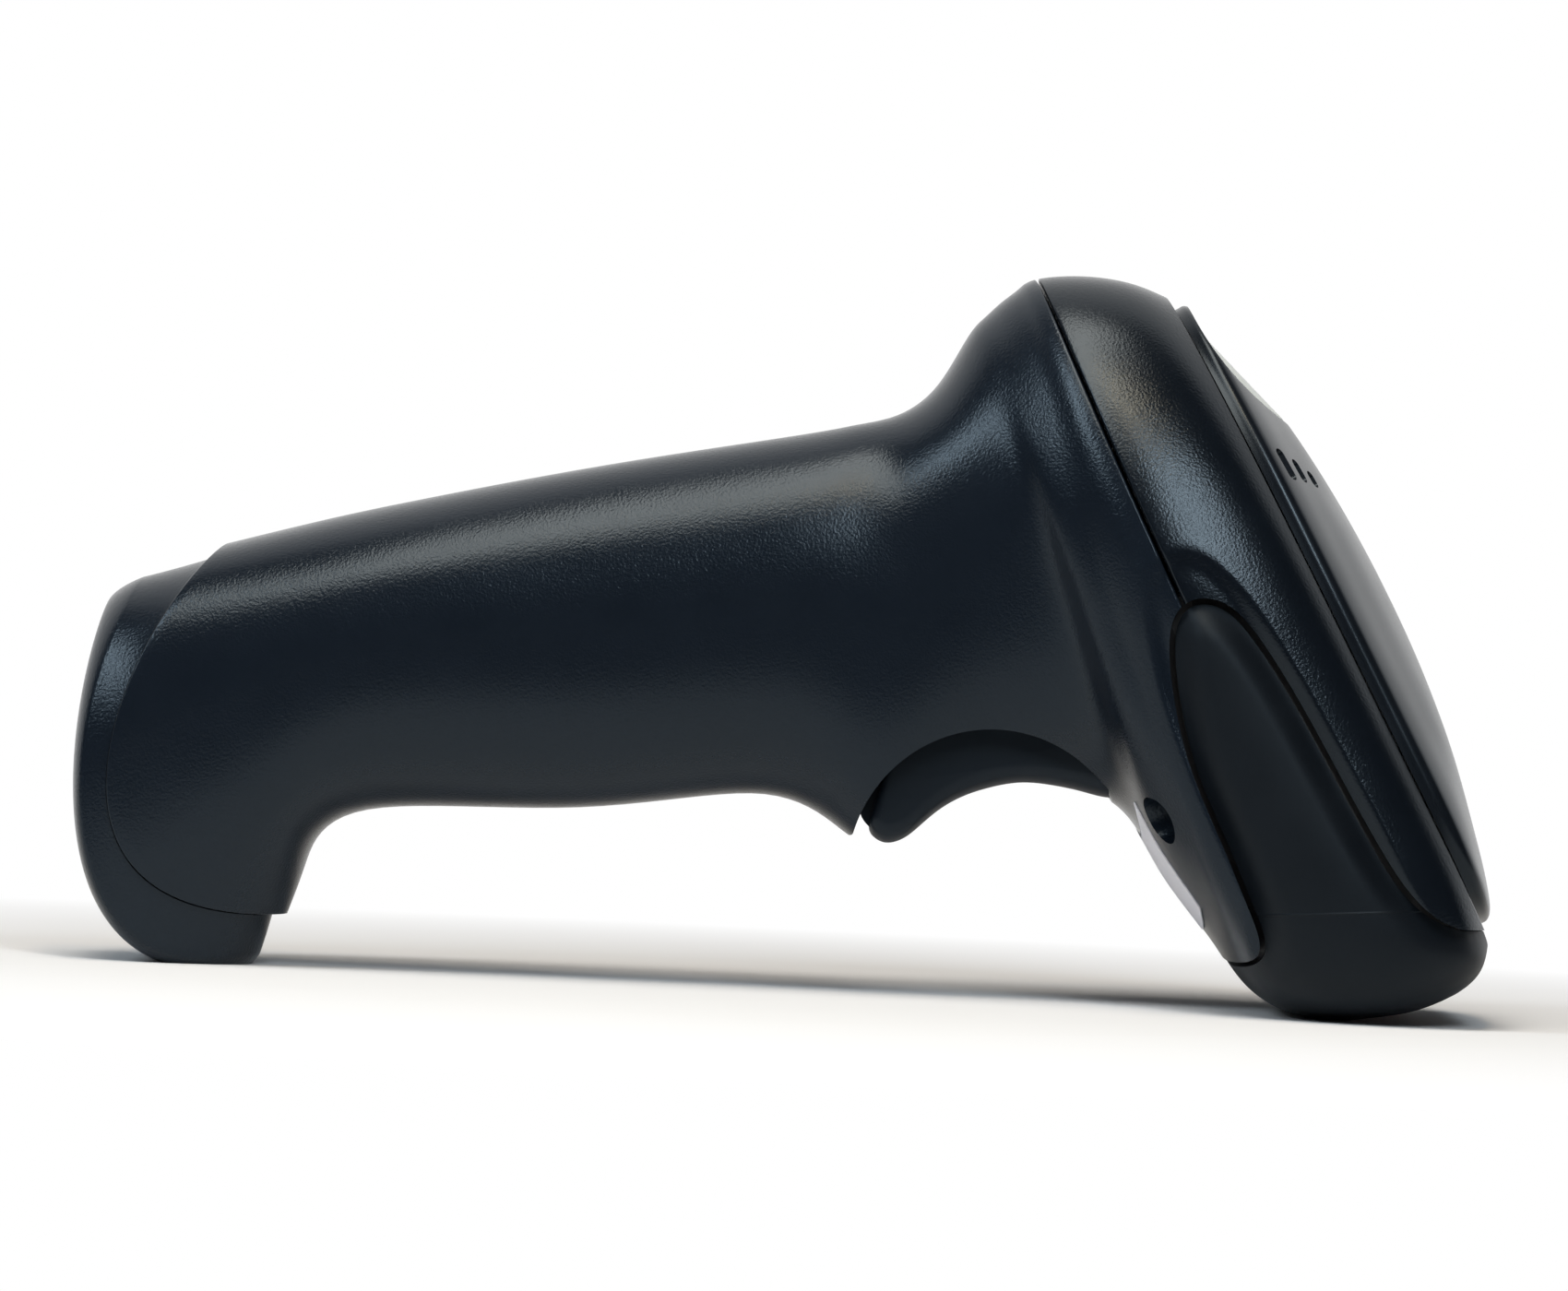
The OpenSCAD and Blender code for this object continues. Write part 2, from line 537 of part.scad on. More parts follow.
chassis_top = -6.6;
module engine_chassis() color([0.32, 0.33, 0.35]) in_head() difference() {
  union() {
    translate([31, -engine_width / 2, chassis_top]) cube([41, engine_width, 1.9]);
    for (h = [34, 69], y = [-11.5, 11.5]) translate([h, y, -24]) cylinder(d = 4.4, h = 18);
    translate([66, 4, -20.5]) cube([2.4, 9, 14.5]);
    translate([56, -engine_width / 2, -18.5]) cube([9, 4.5, 12.5]);
  }
  for (h = [34, 69], y = [-11.5, 11.5]) translate([h, y, -30]) cylinder(d = 2, h = 40);
  translate([60, 9, beam_d]) rotate([0, 90, 0]) cylinder(d = 8, h = 12);
  laser_bore();
}

mirror_at = [50, -2];
mirror_turn = -20;
module laser_bore() {
  translate([64.2, -13.9, beam_d]) rotate([0, 0, 140]) rotate([0, 90, 0])
    cylinder(d = laser_diameter + 0.1, h = 14);
}

module engine_board() color(board_green) in_head() difference() {
  translate([31, -engine_width / 2, -25.6]) cube([41, engine_width, board_thickness]);
  for (h = [34, 69], y = [-11.5, 11.5]) translate([h, y, -30]) cylinder(d = 2, h = 10);
  translate([mirror_at[0], mirror_at[1], -30]) cylinder(d = 2.05, h = 10);
}

module engine_screws() color(metal) in_head() for (h = [34, 69], y = [-11.5, 11.5])
  translate([h, y, -26.8]) difference() {
    union() {
      cylinder(d = 3.2, h = 1.2);
      cylinder(d = 1.6, h = 24.6);
    }
    for (a = [0, 90]) rotate(a) translate([-0.9, -0.25, -e]) cube([1.8, 0.5, 0.7]);
  }

module laser_module() color([0.80, 0.62, 0.25]) in_head()
  translate([64.2, -13.9, beam_d]) rotate([0, 0, 140]) rotate([0, 90, 0]) difference() {
    translate([0, 0, 0.2]) cylinder(d = laser_diameter, h = 11);
    translate([0, 0, 9.6]) cylinder(d = 4.1, h = 3);
    translate([0, 0, 5]) cylinder(d = 2, h = 8);
  }

module laser_lens() color([0.75, 0.85, 0.9]) in_head()
  translate([64.2, -13.9, beam_d]) rotate([0, 0, 140]) rotate([0, 90, 0])
    translate([0, 0, 9.65]) cylinder(d = 4, h = 1.2);

module mirror_shaft() color(metal) in_head()
  translate([mirror_at[0], mirror_at[1], -25.4]) cylinder(d = 2, h = 18.75);

module rotor_frame() {
  in_head() translate([mirror_at[0], mirror_at[1], beam_d]) rotate(mirror_turn) children();
}

module mirror_rotor() color([0.2, 0.2, 0.21]) rotor_frame() difference() {
  union() {
    cylinder(d = 4.4, h = 13, center = true);
    translate([0.8, -mirror_length / 2, -mirror_height / 2]) cube([1.2, mirror_length, mirror_height]);
    translate([-6, -1.5, -2]) cube([6, 3, 4]);
  }
  cylinder(d = 2.2, h = 40, center = true);
}

module scan_mirror() color([0.85, 0.9, 0.95]) rotor_frame()
  translate([2.25, -mirror_length / 2, -mirror_height / 2]) cube([1, mirror_length, mirror_height]);

module rotor_magnet() color(metal) rotor_frame() translate([-8, -2, -2]) cube([2, 4, 4]);

module drive_coil() color([0.72, 0.38, 0.16]) rotor_frame() translate([-13.6, 0, 0])
  rotate([0, 90, 0]) {
    difference() {
      cylinder(d = 8, h = 4);
      translate([0, 0, -e]) cylinder(d = 3, h = 6);
    }
    translate([-7.85, -1.4, 0.4]) cube([5, 2.8, 3.2]);
  }

module collector_lens() color([0.75, 0.85, 0.9]) in_head() translate([66.2, 9, beam_d])
  rotate([0, 90, 0]) {
    cylinder(d = 7.2, h = 1.2);
    translate([0, 0, 1.2]) intersection() {
      cylinder(d = 7.1, h = 2);
      translate([0, 0, -7.2]) sphere(r = 8.4);
    }
  }

module detector_board() color(board_green) in_head()
  translate([57, 5, -20]) cube([1.2, 8.5, 20 + chassis_top]);

module photodiode() color([0.1, 0.1, 0.1]) in_head()
  translate([58.2, 7.2, beam_d - 1.8]) cube([0.9, 3.6, 3.6]);

rear_housing();
head_cover();
face_cover();
indicator_lens();
nose_boot();
nose_frame();
window_gasket();
scan_window();
end_cap();
trigger();
trigger_pin();
trigger_spring();
spring_seat();
trigger_switch();
switch_plunger();
case_screws();
main_board();
board_screws();
battery_holder();
battery_cell();
cell_contacts();
charge_port();
charging_parts();
decoder_chip();
radio_module();
flex_sockets();
engine_flex();
indicator_board();
status_leds();
beeper();
indicator_flex();
engine_chassis();
engine_board();
engine_screws();
laser_module();
laser_lens();
mirror_shaft();
mirror_rotor();
scan_mirror();
rotor_magnet();
drive_coil();
collector_lens();
detector_board();
photodiode();
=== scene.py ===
"""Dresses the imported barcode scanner: smooth moulded shells, rubber boot, lens, label, finishes,
studio floor, lamps and camera. Sizes in the property groups are metres, side-view tables are
millimetres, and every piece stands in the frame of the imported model."""

import json
import math

import bmesh
import bpy
import numpy as np
from mathutils import Matrix, Vector


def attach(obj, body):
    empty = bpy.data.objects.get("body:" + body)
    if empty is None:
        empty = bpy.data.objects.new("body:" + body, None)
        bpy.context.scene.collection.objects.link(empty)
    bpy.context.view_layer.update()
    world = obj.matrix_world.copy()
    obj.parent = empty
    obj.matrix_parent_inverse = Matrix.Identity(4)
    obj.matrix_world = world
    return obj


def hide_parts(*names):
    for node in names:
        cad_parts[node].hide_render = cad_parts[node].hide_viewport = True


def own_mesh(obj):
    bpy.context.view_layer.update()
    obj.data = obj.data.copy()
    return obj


bl_info = {
    "name": "Handheld barcode scanner",
    "version": (1, 0, 0),
    "blender": (4, 5, 0),
    "location": "View3D > Sidebar > Scanner",
    "description": "Moulded shells, rubber boot, label and studio for a cordless barcode scanner",
    "category": "Object",
}

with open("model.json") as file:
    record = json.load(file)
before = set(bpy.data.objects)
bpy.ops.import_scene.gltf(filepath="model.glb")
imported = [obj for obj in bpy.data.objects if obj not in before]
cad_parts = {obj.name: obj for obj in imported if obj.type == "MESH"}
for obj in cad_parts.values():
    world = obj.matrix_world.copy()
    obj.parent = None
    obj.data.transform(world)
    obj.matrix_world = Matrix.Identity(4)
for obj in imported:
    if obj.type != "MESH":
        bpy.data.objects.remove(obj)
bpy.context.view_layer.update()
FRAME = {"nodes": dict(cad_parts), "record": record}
MM = 0.001
RING, FINE = 160, 288  # points round a section of the smaller pieces, and of the shells


class ScannerSizes(bpy.types.PropertyGroup):
    """Sizes of the moulded body"""

    handle_width: bpy.props.FloatProperty(
        name="Handle width", description="Width of the handle at its middle",
        default=0.032, unit="LENGTH")
    nose_half_width: bpy.props.FloatProperty(
        name="Nose half width", description="Half width of the head at the nose end",
        default=0.036, unit="LENGTH")
    crown_half_width: bpy.props.FloatProperty(
        name="Crown half width", description="Half width of the head at its crown",
        default=0.025, unit="LENGTH")
    wall: bpy.props.FloatProperty(
        name="Wall", description="Thickness of the moulded walls", default=0.0022, unit="LENGTH")
    opening_radius: bpy.props.FloatProperty(
        name="Trigger opening", description="Radius of the opening for the trigger",
        default=0.0179, unit="LENGTH")
    cap_step: bpy.props.FloatProperty(
        name="Cap step", description="Depth of the end cap below the handle surface",
        default=0.0006, unit="LENGTH")
    cap_edge: bpy.props.FloatProperty(
        name="Cap edge", description="Radius round the end face of the cap",
        default=0.004, unit="LENGTH")
    recess_depth: bpy.props.FloatProperty(
        name="Ear recess", description="Depth of the recess round the ears of the boot",
        default=0.0016, unit="LENGTH")
    face_height: bpy.props.FloatProperty(
        name="Face height", description="Height of the face cover above its rim",
        default=0.0088, unit="LENGTH")
    boot_wall: bpy.props.FloatProperty(
        name="Boot wall", description="Thickness of the rubber boot", default=0.0023, unit="LENGTH")
    lens_length: bpy.props.FloatProperty(
        name="Lens length", description="Length of the indicator lens down the face",
        default=0.0155, unit="LENGTH")
    lens_width: bpy.props.FloatProperty(
        name="Lens width", description="Width of the indicator lens across the face",
        default=0.018, unit="LENGTH")


class ScannerColours(bpy.types.PropertyGroup):
    """Colours of the finishes that show"""

    shell: bpy.props.FloatVectorProperty(
        name="Shell", description="Textured plastic of the handle and the rear of the head",
        default=(0.0060, 0.0092, 0.0146), subtype="COLOR", min=0, max=1)
    cover: bpy.props.FloatVectorProperty(
        name="Head cover", description="Satin plastic of the band round the head",
        default=(0.0038, 0.0056, 0.0086), subtype="COLOR", min=0, max=1)
    face: bpy.props.FloatVectorProperty(
        name="Face cover", description="Smooth plastic of the domed face",
        default=(0.0052, 0.0068, 0.0096), subtype="COLOR", min=0, max=1)
    boot: bpy.props.FloatVectorProperty(
        name="Boot", description="Rubber of the nose boot",
        default=(0.0030, 0.0044, 0.0068), subtype="COLOR", min=0, max=1)
    trigger: bpy.props.FloatVectorProperty(
        name="Trigger", description="Smooth plastic of the trigger",
        default=(0.0052, 0.0078, 0.0122), subtype="COLOR", min=0, max=1)
    lens: bpy.props.FloatVectorProperty(
        name="Lens", description="Milky plastic of the indicator lens",
        default=(0.61, 0.66, 0.63), subtype="COLOR", min=0, max=1)
    label: bpy.props.FloatVectorProperty(
        name="Label", description="Paper of the blank label on the underside",
        default=(0.80, 0.79, 0.84), subtype="COLOR", min=0, max=1)
    floor: bpy.props.FloatVectorProperty(
        name="Floor", description="Pale studio floor",
        default=(0.93, 0.93, 0.93), subtype="COLOR", min=0, max=1)


def sizes():
    return bpy.context.scene.scanner_sizes


def colours():
    return bpy.context.scene.scanner_colours


class Spline:
    """Curve through rows of numbers, one row at each whole step, with even curvature."""

    def __init__(self, rows):
        self.rows = np.array(rows, float)
        count = len(self.rows)
        system = np.eye(count)
        right = np.zeros_like(self.rows)
        for i in range(1, count - 1):
            system[i, i - 1:i + 2] = 1, 4, 1
            right[i] = 6 * (self.rows[i - 1] - 2 * self.rows[i] + self.rows[i + 1])
        self.bend = np.linalg.solve(system, right)

    def __call__(self, s):
        i = int(min(max(math.floor(s), 0), len(self.rows) - 2))
        t = s - i
        q = 1 - t
        return (q * self.rows[i] + t * self.rows[i + 1]
                + ((q ** 3 - q) * self.bend[i] + (t ** 3 - t) * self.bend[i + 1]) / 6)


def station(top, low, w1, w2, n1, n2, square=2.0, slant=1.0, bow1=(0, 0), bow2=(0, 0)):
    """Line across the body in the side view, with its half widths, fullness and squareness."""
    top, low = np.array(top, float), np.array(low, float)
    first = top + (low - top) / 3 + bow1
    second = top + (low - top) * 2 / 3 + bow2
    return np.concatenate([top, first, second, low, [w1, w2, n1, n2, square, slant]])


def body_spline():
    """Stations from the heel to the face, in millimetres."""
    h = sizes().handle_width / MM / 2
    c = sizes().crown_half_width / MM
    n = sizes().nose_half_width / MM
    half_bow, full_bow = (-1.3, -0.4), (-2.6, -0.8)
    return Spline([
        station((-72.6, 53.4), (-62.6, 6.6), h + 1, h + 1, 2.6, 3, 2, 1, (-15, 3), (-32, -17.5)),
        station((-60, 57.1), (-60.6, 13), h + 0.8, h + 0.8, 2.6, 3, 2, 1, (-7, 1), (-13, -6)),
        station((-47, 60.5), (-53, 20.3), h + 0.4, h + 0.4, 2.6, 3, 2, 1, (-1, 0), (-2, 0)),
        station((-24, 65.9), (-26, 21.9), h, h, 2.6, 3),
        station((-1, 70.6), (-2.5, 24.7), h, h - 0.3, 2.6, 3.2),
        station((6.5, 72.3), (8.4, 20), h + 0.2, h - 0.3, 2.6, 3.4),
        station((10.8, 73.4), (14, 19.5), h + 0.3, h, 2.5, 3.4),
        station((14.4, 75.3), (20, 24), h + 0.4, h, 2.5, 3.4),
        station((17.6, 78.9), (29.5, 27.7), h + 0.8, h + 0.5, 2.4, 3.4),
        station((20.6, 84.4), (41.7, 25.8), h + 1.5, h + 3.6, 2.3, 3.4, 2, 1.4),
        station((22.6, 86.9), (48.5, 17.2), h + 3.2, h + 9, 2.2, 3.4, 2, 3.4),
        station((24.6, 88.9), (56, 7.9), c - 3.6, n - 7.5, 2.2, 4.6, 2.3, 2.8),
        station((26.6, 90.6), (63.9, 0.3), c - 1.6, n - 5, 2.2, 7, 4, 1.6, half_bow, half_bow),
        station((28.8, 92), (77.3, 0.2), c, n - 1, 2.2, 8, 5, 1, full_bow, full_bow),
        station((34.6, 92.7), (85.2, 3.2), c - 0.3, n - 1.6, 2.2, 8, 5, 1, half_bow, half_bow),
        station((40.8, 92.1), (88.5, 6.2), c - 1.8, n - 3.3, 2.2, 8, 5),
        station((45.5, 90.5), (89.6, 9.5), c - 4.6, n - 6, 2.2, 8, 4.5)])


SEAM, FRONT = 13.0, 16.0  # stations of the shells' seam and of the front rim
ROUND = np.concatenate([-np.cos(np.linspace(0, np.pi / 2, 300)),
                        1 - np.linspace(1, 0, 300)[1:] ** 6])


def even_ring(half, count):
    """Half a section, from its top to its bottom, as a closed ring of evenly spaced points."""
    run = np.concatenate([[0], np.cumsum(np.linalg.norm(np.diff(half, axis=0), axis=1))])
    at = np.linspace(0, run[-1], count // 2 + 1)
    half = np.stack([np.interp(at, run, half[:, i]) for i in range(3)], 1)
    return np.concatenate([half * (1, -1, 1), half[-2:0:-1]])


SNUG_WIDTH, SNUG_END = 0.994, 0.03


def section(k, side=0.0, end=0.0, count=RING):
    """Ring of one station, set in from the surface at its sides and ends, in millimetres.
    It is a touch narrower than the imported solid, so that the smooth shell stays inside its box."""
    end += SNUG_END
    t = (1 + ROUND) / 2
    span = np.linalg.norm(k[6:8] - k[0:2])
    f = (end + (span - end * (1 + k[13])) * t) / span
    q = 1 - f
    x, z = (q ** 3 * k[i] + 3 * q * q * f * k[2 + i] + 3 * q * f * f * k[4 + i] + f ** 3 * k[6 + i]
            for i in (0, 1))
    fullness = np.where(ROUND < 0, k[10], k[11])
    squareness = np.where(ROUND < 0, 2, k[12])
    width = (k[8] + (k[9] - k[8]) * t) * SNUG_WIDTH - side
    y = width * np.maximum(0, 1 - np.abs(ROUND) ** fullness) ** (1 / squareness)
    return even_ring(np.stack([x, y, z], 1), count)


HEAD_AT, HEAD_TILT = (46.9, 0, 87.9), 61.4
HANDLE_AT, HANDLE_TILT = (-20, 0, 44), -9.5


def turned(at, tilt):
    return Matrix.Translation(at) @ Matrix.Rotation(math.radians(tilt), 4, "Y")


HEAD = turned(HEAD_AT, HEAD_TILT)
HANDLE = turned(HANDLE_AT, HANDLE_TILT)
LENS = HEAD @ turned((10.6, 0, 4.4), -17.7)
MOUTH = HEAD @ turned((90.2, 0, -12.8), 10.3)


def placed(points, frame):
    """Points in a turned frame, as points of the scanner."""
    points = np.asarray(points, float)
    turn = np.array(frame.to_3x3())
    return points @ turn.T + np.array(frame.translation)


BOOT_KEYS = [(84.6, 12.5), (81, 14), (77, 17.6), (72.6, 24), (68, 31.6), (63.6, 38.9), (59.4, 45.2),
             (55.4, 50), (52, 51.8), (49.2, 51.4), (47.4, 48.8), (47.5, 43), (49.4, 34.4),
             (52.2, 27.2), (55.5, 20.4), (58, 15), (60, 10.4), (59.8, 7.6), (57.4, 6.4)]
RECESS_KEYS = [(84, 11.4), (80.5, 14.8), (77.6, 19.4), (74, 25.9), (69.7, 33.2), (65.3, 40.4),
               (61, 47), (56.8, 52.8), (52, 57.3), (47.6, 58.4), (44.2, 56.4), (43.2, 52.6),
               (43.7, 47.8), (45.6, 40.6), (48.4, 33.4), (51.6, 26.4), (55, 19.6), (57.4, 14.6)]


def smooth_line(keys, per_key=8):
    spline = Spline(keys)
    return np.array([spline(i / per_key) for i in range((len(keys) - 1) * per_key + 1)])


def grown(line, grow):
    """Open line moved to its left by a distance, or by one for each point."""
    ahead = np.gradient(line, axis=0)
    ahead /= np.linalg.norm(ahead, axis=1)[:, None]
    return line + np.stack([ahead[:, 1], -ahead[:, 0]], 1) * np.reshape(grow, (-1, 1))


def boot_outline(grow=0.0):
    line = smooth_line(BOOT_KEYS)
    line = grown(line, grow * (0.25 + 0.75 * ease(np.arange(len(line)) / 20)))
    return np.concatenate([line, [(48, 2), (48, -6), (98, -6), (98, 12.2 + grow * 0.25)]])


def recess_outline():
    return np.concatenate([smooth_line(RECESS_KEYS), [(58.4, 8), (58, -6), (96, -6), (96, 9)]])


def depth_inside(points, outline):
    """Distance of side-view points to an outline, above nothing inside it and below outside."""
    a, b = outline, np.roll(outline, -1, axis=0)
    best = np.full(len(points), 1e9)
    inside = np.zeros(len(points), bool)
    for p, q in zip(a, b):
        d = q - p
        t = np.clip(((points - p) @ d) / max(d @ d, 1e-9), 0, 1)
        best = np.minimum(best, np.linalg.norm(points - p - t[:, None] * d, axis=1))
        crosses = (p[1] > points[:, 1]) != (q[1] > points[:, 1])
        if abs(d[1]) > 1e-9:
            inside ^= crosses & (points[:, 0] < p[0] + d[0] * (points[:, 1] - p[1]) / d[1])
    return np.where(inside, best, -best)


def ease(x):
    x = np.clip(x, 0, 1)
    return x * x * (3 - 2 * x)


def with_recess(rings):
    """Rings with the shallow recess round each ear pressed into their sides."""
    outline = recess_outline()
    depth = sizes().recess_depth / MM
    top, deepening, slope, side_start, side_fade = 57, 16, 2.6, 10, 6
    made = []
    for ring in rings:
        inside = depth_inside(ring[:, [0, 2]], outline)
        shallow = 0.4 + 0.6 * ease((top - ring[:, 2]) / deepening)
        sideways = ease((np.abs(ring[:, 1]) - side_start) / side_fade)
        press = depth * shallow * ease(inside / slope) * sideways
        moved = ring.copy()
        moved[:, 1] -= np.sign(ring[:, 1]) * press
        made.append(moved)
    return made


def choose(piece):
    """Selects one piece alone and makes it active."""
    bpy.ops.object.select_all(action="DESELECT")
    piece.select_set(True)
    bpy.context.view_layer.objects.active = piece


def start_edit(piece):
    choose(piece)
    bpy.ops.object.mode_set(mode="EDIT")
    bpy.ops.mesh.select_mode(type="VERT")


def end_edit():
    bpy.ops.object.mode_set(mode="OBJECT")


def loft(name, rings, closed=False, scale=MM):
    """Circle extruded from ring to ring. A closed loft ends where it began, any other is capped."""
    bpy.ops.object.select_all(action="DESELECT")
    bpy.ops.mesh.primitive_circle_add(vertices=len(rings[0]), radius=MM)
    piece = bpy.context.object
    piece.name = piece.data.name = name
    start_edit(piece)
    bpy.ops.mesh.select_all(action="SELECT")
    if not closed:
        bpy.ops.mesh.edge_face_add()
    row = None
    for ring in list(rings) + ([rings[0]] if closed else []):
        if row is not None:
            bpy.ops.mesh.extrude_region()
        mesh = bmesh.from_edit_mesh(piece.data)
        mesh.verts.ensure_lookup_table()
        if row is None:
            row = list(mesh.verts)
        else:
            old = [mesh.verts[i] for i in row_index]
            row = [next(e.other_vert(v) for e in v.link_edges if e.other_vert(v).select)
                   for v in old]
        for vert, place in zip(row, ring):
            vert.co = Vector(place) * scale
        mesh.verts.index_update()
        row_index = [v.index for v in row]
        bmesh.update_edit_mesh(piece.data)
    bpy.ops.mesh.select_all(action="SELECT")
    if closed:
        bpy.ops.mesh.remove_doubles(threshold=1e-8)
    bpy.ops.mesh.normals_make_consistent(inside=False)
    end_edit()
    piece.matrix_world = Matrix.Identity(4)
    return piece


ASIDE = 45.0  # farther out than any side of the scanner


def around(count):
    """Angles of a full turn."""
    return np.linspace(0, 2 * math.pi, count, endpoint=False)


def crosswise(at):
    """Frame at a point, with its Z across the body."""
    return Matrix.Translation(at) @ Matrix.Rotation(math.pi / 2, 4, "X")


def prism(name, outline, near=-ASIDE, far=ASIDE):
    """Side-view outline carried across the body."""
    return loft(name, [np.array([(x, y, z) for x, z in outline]) for y in (near, far)])


def bar(name, frame, length, width, radius, low, high):
    """Rounded bar along the Z of a frame."""
    corner = np.radians(np.linspace(0, 90, 9))
    line = []
    for i, (sx, sy) in enumerate(((1, 1), (-1, 1), (-1, -1), (1, -1))):
        for a in corner + i * math.pi / 2:
            line.append((sx * (length / 2 - radius) + radius * math.cos(a),
                         sy * (width / 2 - radius) + radius * math.sin(a)))
    return loft(name, [placed([(x, y, z) for x, y in line], frame) for z in (low, high)])


def rod(name, frame, radius, low, high, sides=64):
    """Round bar along the Z of a frame."""
    turn = [(radius * math.cos(a), radius * math.sin(a)) for a in around(sides)]
    return loft(name, [placed([(x, y, z) for x, y in turn], frame) for z in (low, high)])


def combine(piece, other, operation="DIFFERENCE"):
    """Boolean of one piece with a helper, which is then removed."""
    choose(piece)
    bpy.ops.object.modifier_add(type="BOOLEAN")
    modifier = piece.modifiers[-1]
    modifier.operation = operation
    modifier.solver = "MANIFOLD"
    modifier.object = other
    bpy.ops.object.modifier_apply(modifier=modifier.name)
    mesh = other.data
    bpy.data.objects.remove(other)
    bpy.data.meshes.remove(mesh)
    if not piece.data.polygons:
        raise RuntimeError("the cut left nothing of " + piece.name)


def slice_off(piece, at, normal):
    """Cuts away what lies beyond a plane and closes the cut."""
    start_edit(piece)
    bpy.ops.mesh.select_all(action="SELECT")
    bpy.ops.mesh.bisect(plane_co=Vector(at) * MM, plane_no=normal, clear_outer=True, use_fill=True,
                        threshold=1e-7)
    end_edit()


def finish_piece(piece, material, body, nodes=(), angle=32):
    """Shades a piece, gives it its finish and hangs it on its body."""
    choose(piece)
    bpy.ops.object.shade_smooth_by_angle(angle=math.radians(angle))
    piece.data.materials.clear()
    piece.data.materials.append(material)
    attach(piece, body)
    if nodes:
        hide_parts(*nodes)


def new_material(name):
    material = bpy.data.materials.new(name)
    material.use_nodes = True
    tree = material.node_tree
    return material, tree, tree.nodes["Principled BSDF"]


def link(tree, a, b):
    tree.links.new(a, b)


def object_place(tree):
    return tree.nodes.new("ShaderNodeTexCoord").outputs["Object"]


def noise(tree, place, scale, detail=3.0, rough=0.5):
    node = tree.nodes.new("ShaderNodeTexNoise")
    node.inputs["Scale"].default_value = scale
    node.inputs["Detail"].default_value = detail
    node.inputs["Roughness"].default_value = rough
    link(tree, place, node.inputs["Vector"])
    return node.outputs["Fac"]


def ramp(tree, value, low, high, start, end):
    node = tree.nodes.new("ShaderNodeMapRange")
    for key, number in (("From Min", low), ("From Max", high), ("To Min", start), ("To Max", end)):
        node.inputs[key].default_value = number
    link(tree, value, node.inputs["Value"])
    return node.outputs["Result"]


def tint(tree, factor, first, second):
    """Mix of two colours, of which the first may be the output of a node."""
    node = tree.nodes.new("ShaderNodeMix")
    node.data_type = "RGBA"
    link(tree, factor, node.inputs["Factor"])
    if isinstance(first, bpy.types.NodeSocket):
        link(tree, first, node.inputs["A"])
    else:
        node.inputs["A"].default_value = (*first, 1)
    node.inputs["B"].default_value = (*second, 1)
    return node.outputs["Result"]


def bump(tree, height, distance, under=None):
    node = tree.nodes.new("ShaderNodeBump")
    node.inputs["Strength"].default_value = 1.0
    node.inputs["Distance"].default_value = distance
    link(tree, height, node.inputs["Height"])
    if under is not None:
        link(tree, under, node.inputs["Normal"])
    return node.outputs["Normal"]


def scaled(colour, factor):
    return tuple(min(1.0, c * factor) for c in colour[:3])


def join(tree, operation, first, second):
    node = tree.nodes.new("ShaderNodeMath")
    node.operation = operation
    link(tree, first, node.inputs[0])
    link(tree, second, node.inputs[1])
    return node.outputs["Value"]


def both(tree, first, second):
    return join(tree, "MULTIPLY", first, second)


def either(tree, first, second):
    return join(tree, "MAXIMUM", first, second)


def level(tree, place, axis):
    node = tree.nodes.new("ShaderNodeSeparateXYZ")
    link(tree, place, node.inputs["Vector"])
    return node.outputs[axis]


def sees_white(tree, place, reach):
    """Rays that see the background white: the camera's, and those of gloss and glass that look
    past the scanner, fading in over a reach along Y."""
    rays = tree.nodes.new("ShaderNodeLightPath").outputs
    bright = either(tree, rays["Is Glossy Ray"], rays["Is Transmission Ray"])
    behind = ramp(tree, level(tree, place, "Y"), 0, reach, 0, 1)
    return either(tree, rays["Is Camera Ray"], both(tree, bright, behind))


def mould_line(tree, place, across, at, width=0.0002):
    """Height of a fine ridge where a plane meets the surface."""
    along = tree.nodes.new("ShaderNodeVectorMath")
    along.operation = "DOT_PRODUCT"
    along.inputs[1].default_value = across
    link(tree, place, along.inputs[0])
    first = ramp(tree, along.outputs["Value"], at - width, at, 0, 1)
    second = ramp(tree, along.outputs["Value"], at, at + width, 1, 0)
    return both(tree, first, second)


def moulded(name, colour, rough=(0.38, 0.48), grain=2600.0, height=0.00002, mottle=0.12,
            specular=0.5, coarse=120.0, gloss=(1, 1, 1), line=None):
    """Moulded plastic or rubber: fine grain in the surface, uneven gloss and faint mottling."""
    material, tree, shader = new_material(name)
    place = object_place(tree)
    cloud = noise(tree, place, coarse, 4)
    colour = tuple(colour[:3])
    link(tree, tint(tree, cloud, scaled(colour, 1 - mottle), scaled(colour, 1 + mottle)),
         shader.inputs["Base Color"])
    fine = noise(tree, place, grain, 2, 0.55)
    link(tree, ramp(tree, cloud, 0.3, 0.7, *rough), shader.inputs["Roughness"])
    normal = bump(tree, fine, height)
    if line:
        normal = bump(tree, mould_line(tree, place, *line), 0.00008, normal)
    link(tree, normal, shader.inputs["Normal"])
    shader.inputs["Specular IOR Level"].default_value = specular
    shader.inputs["Specular Tint"].default_value = (*gloss, 1)
    return material


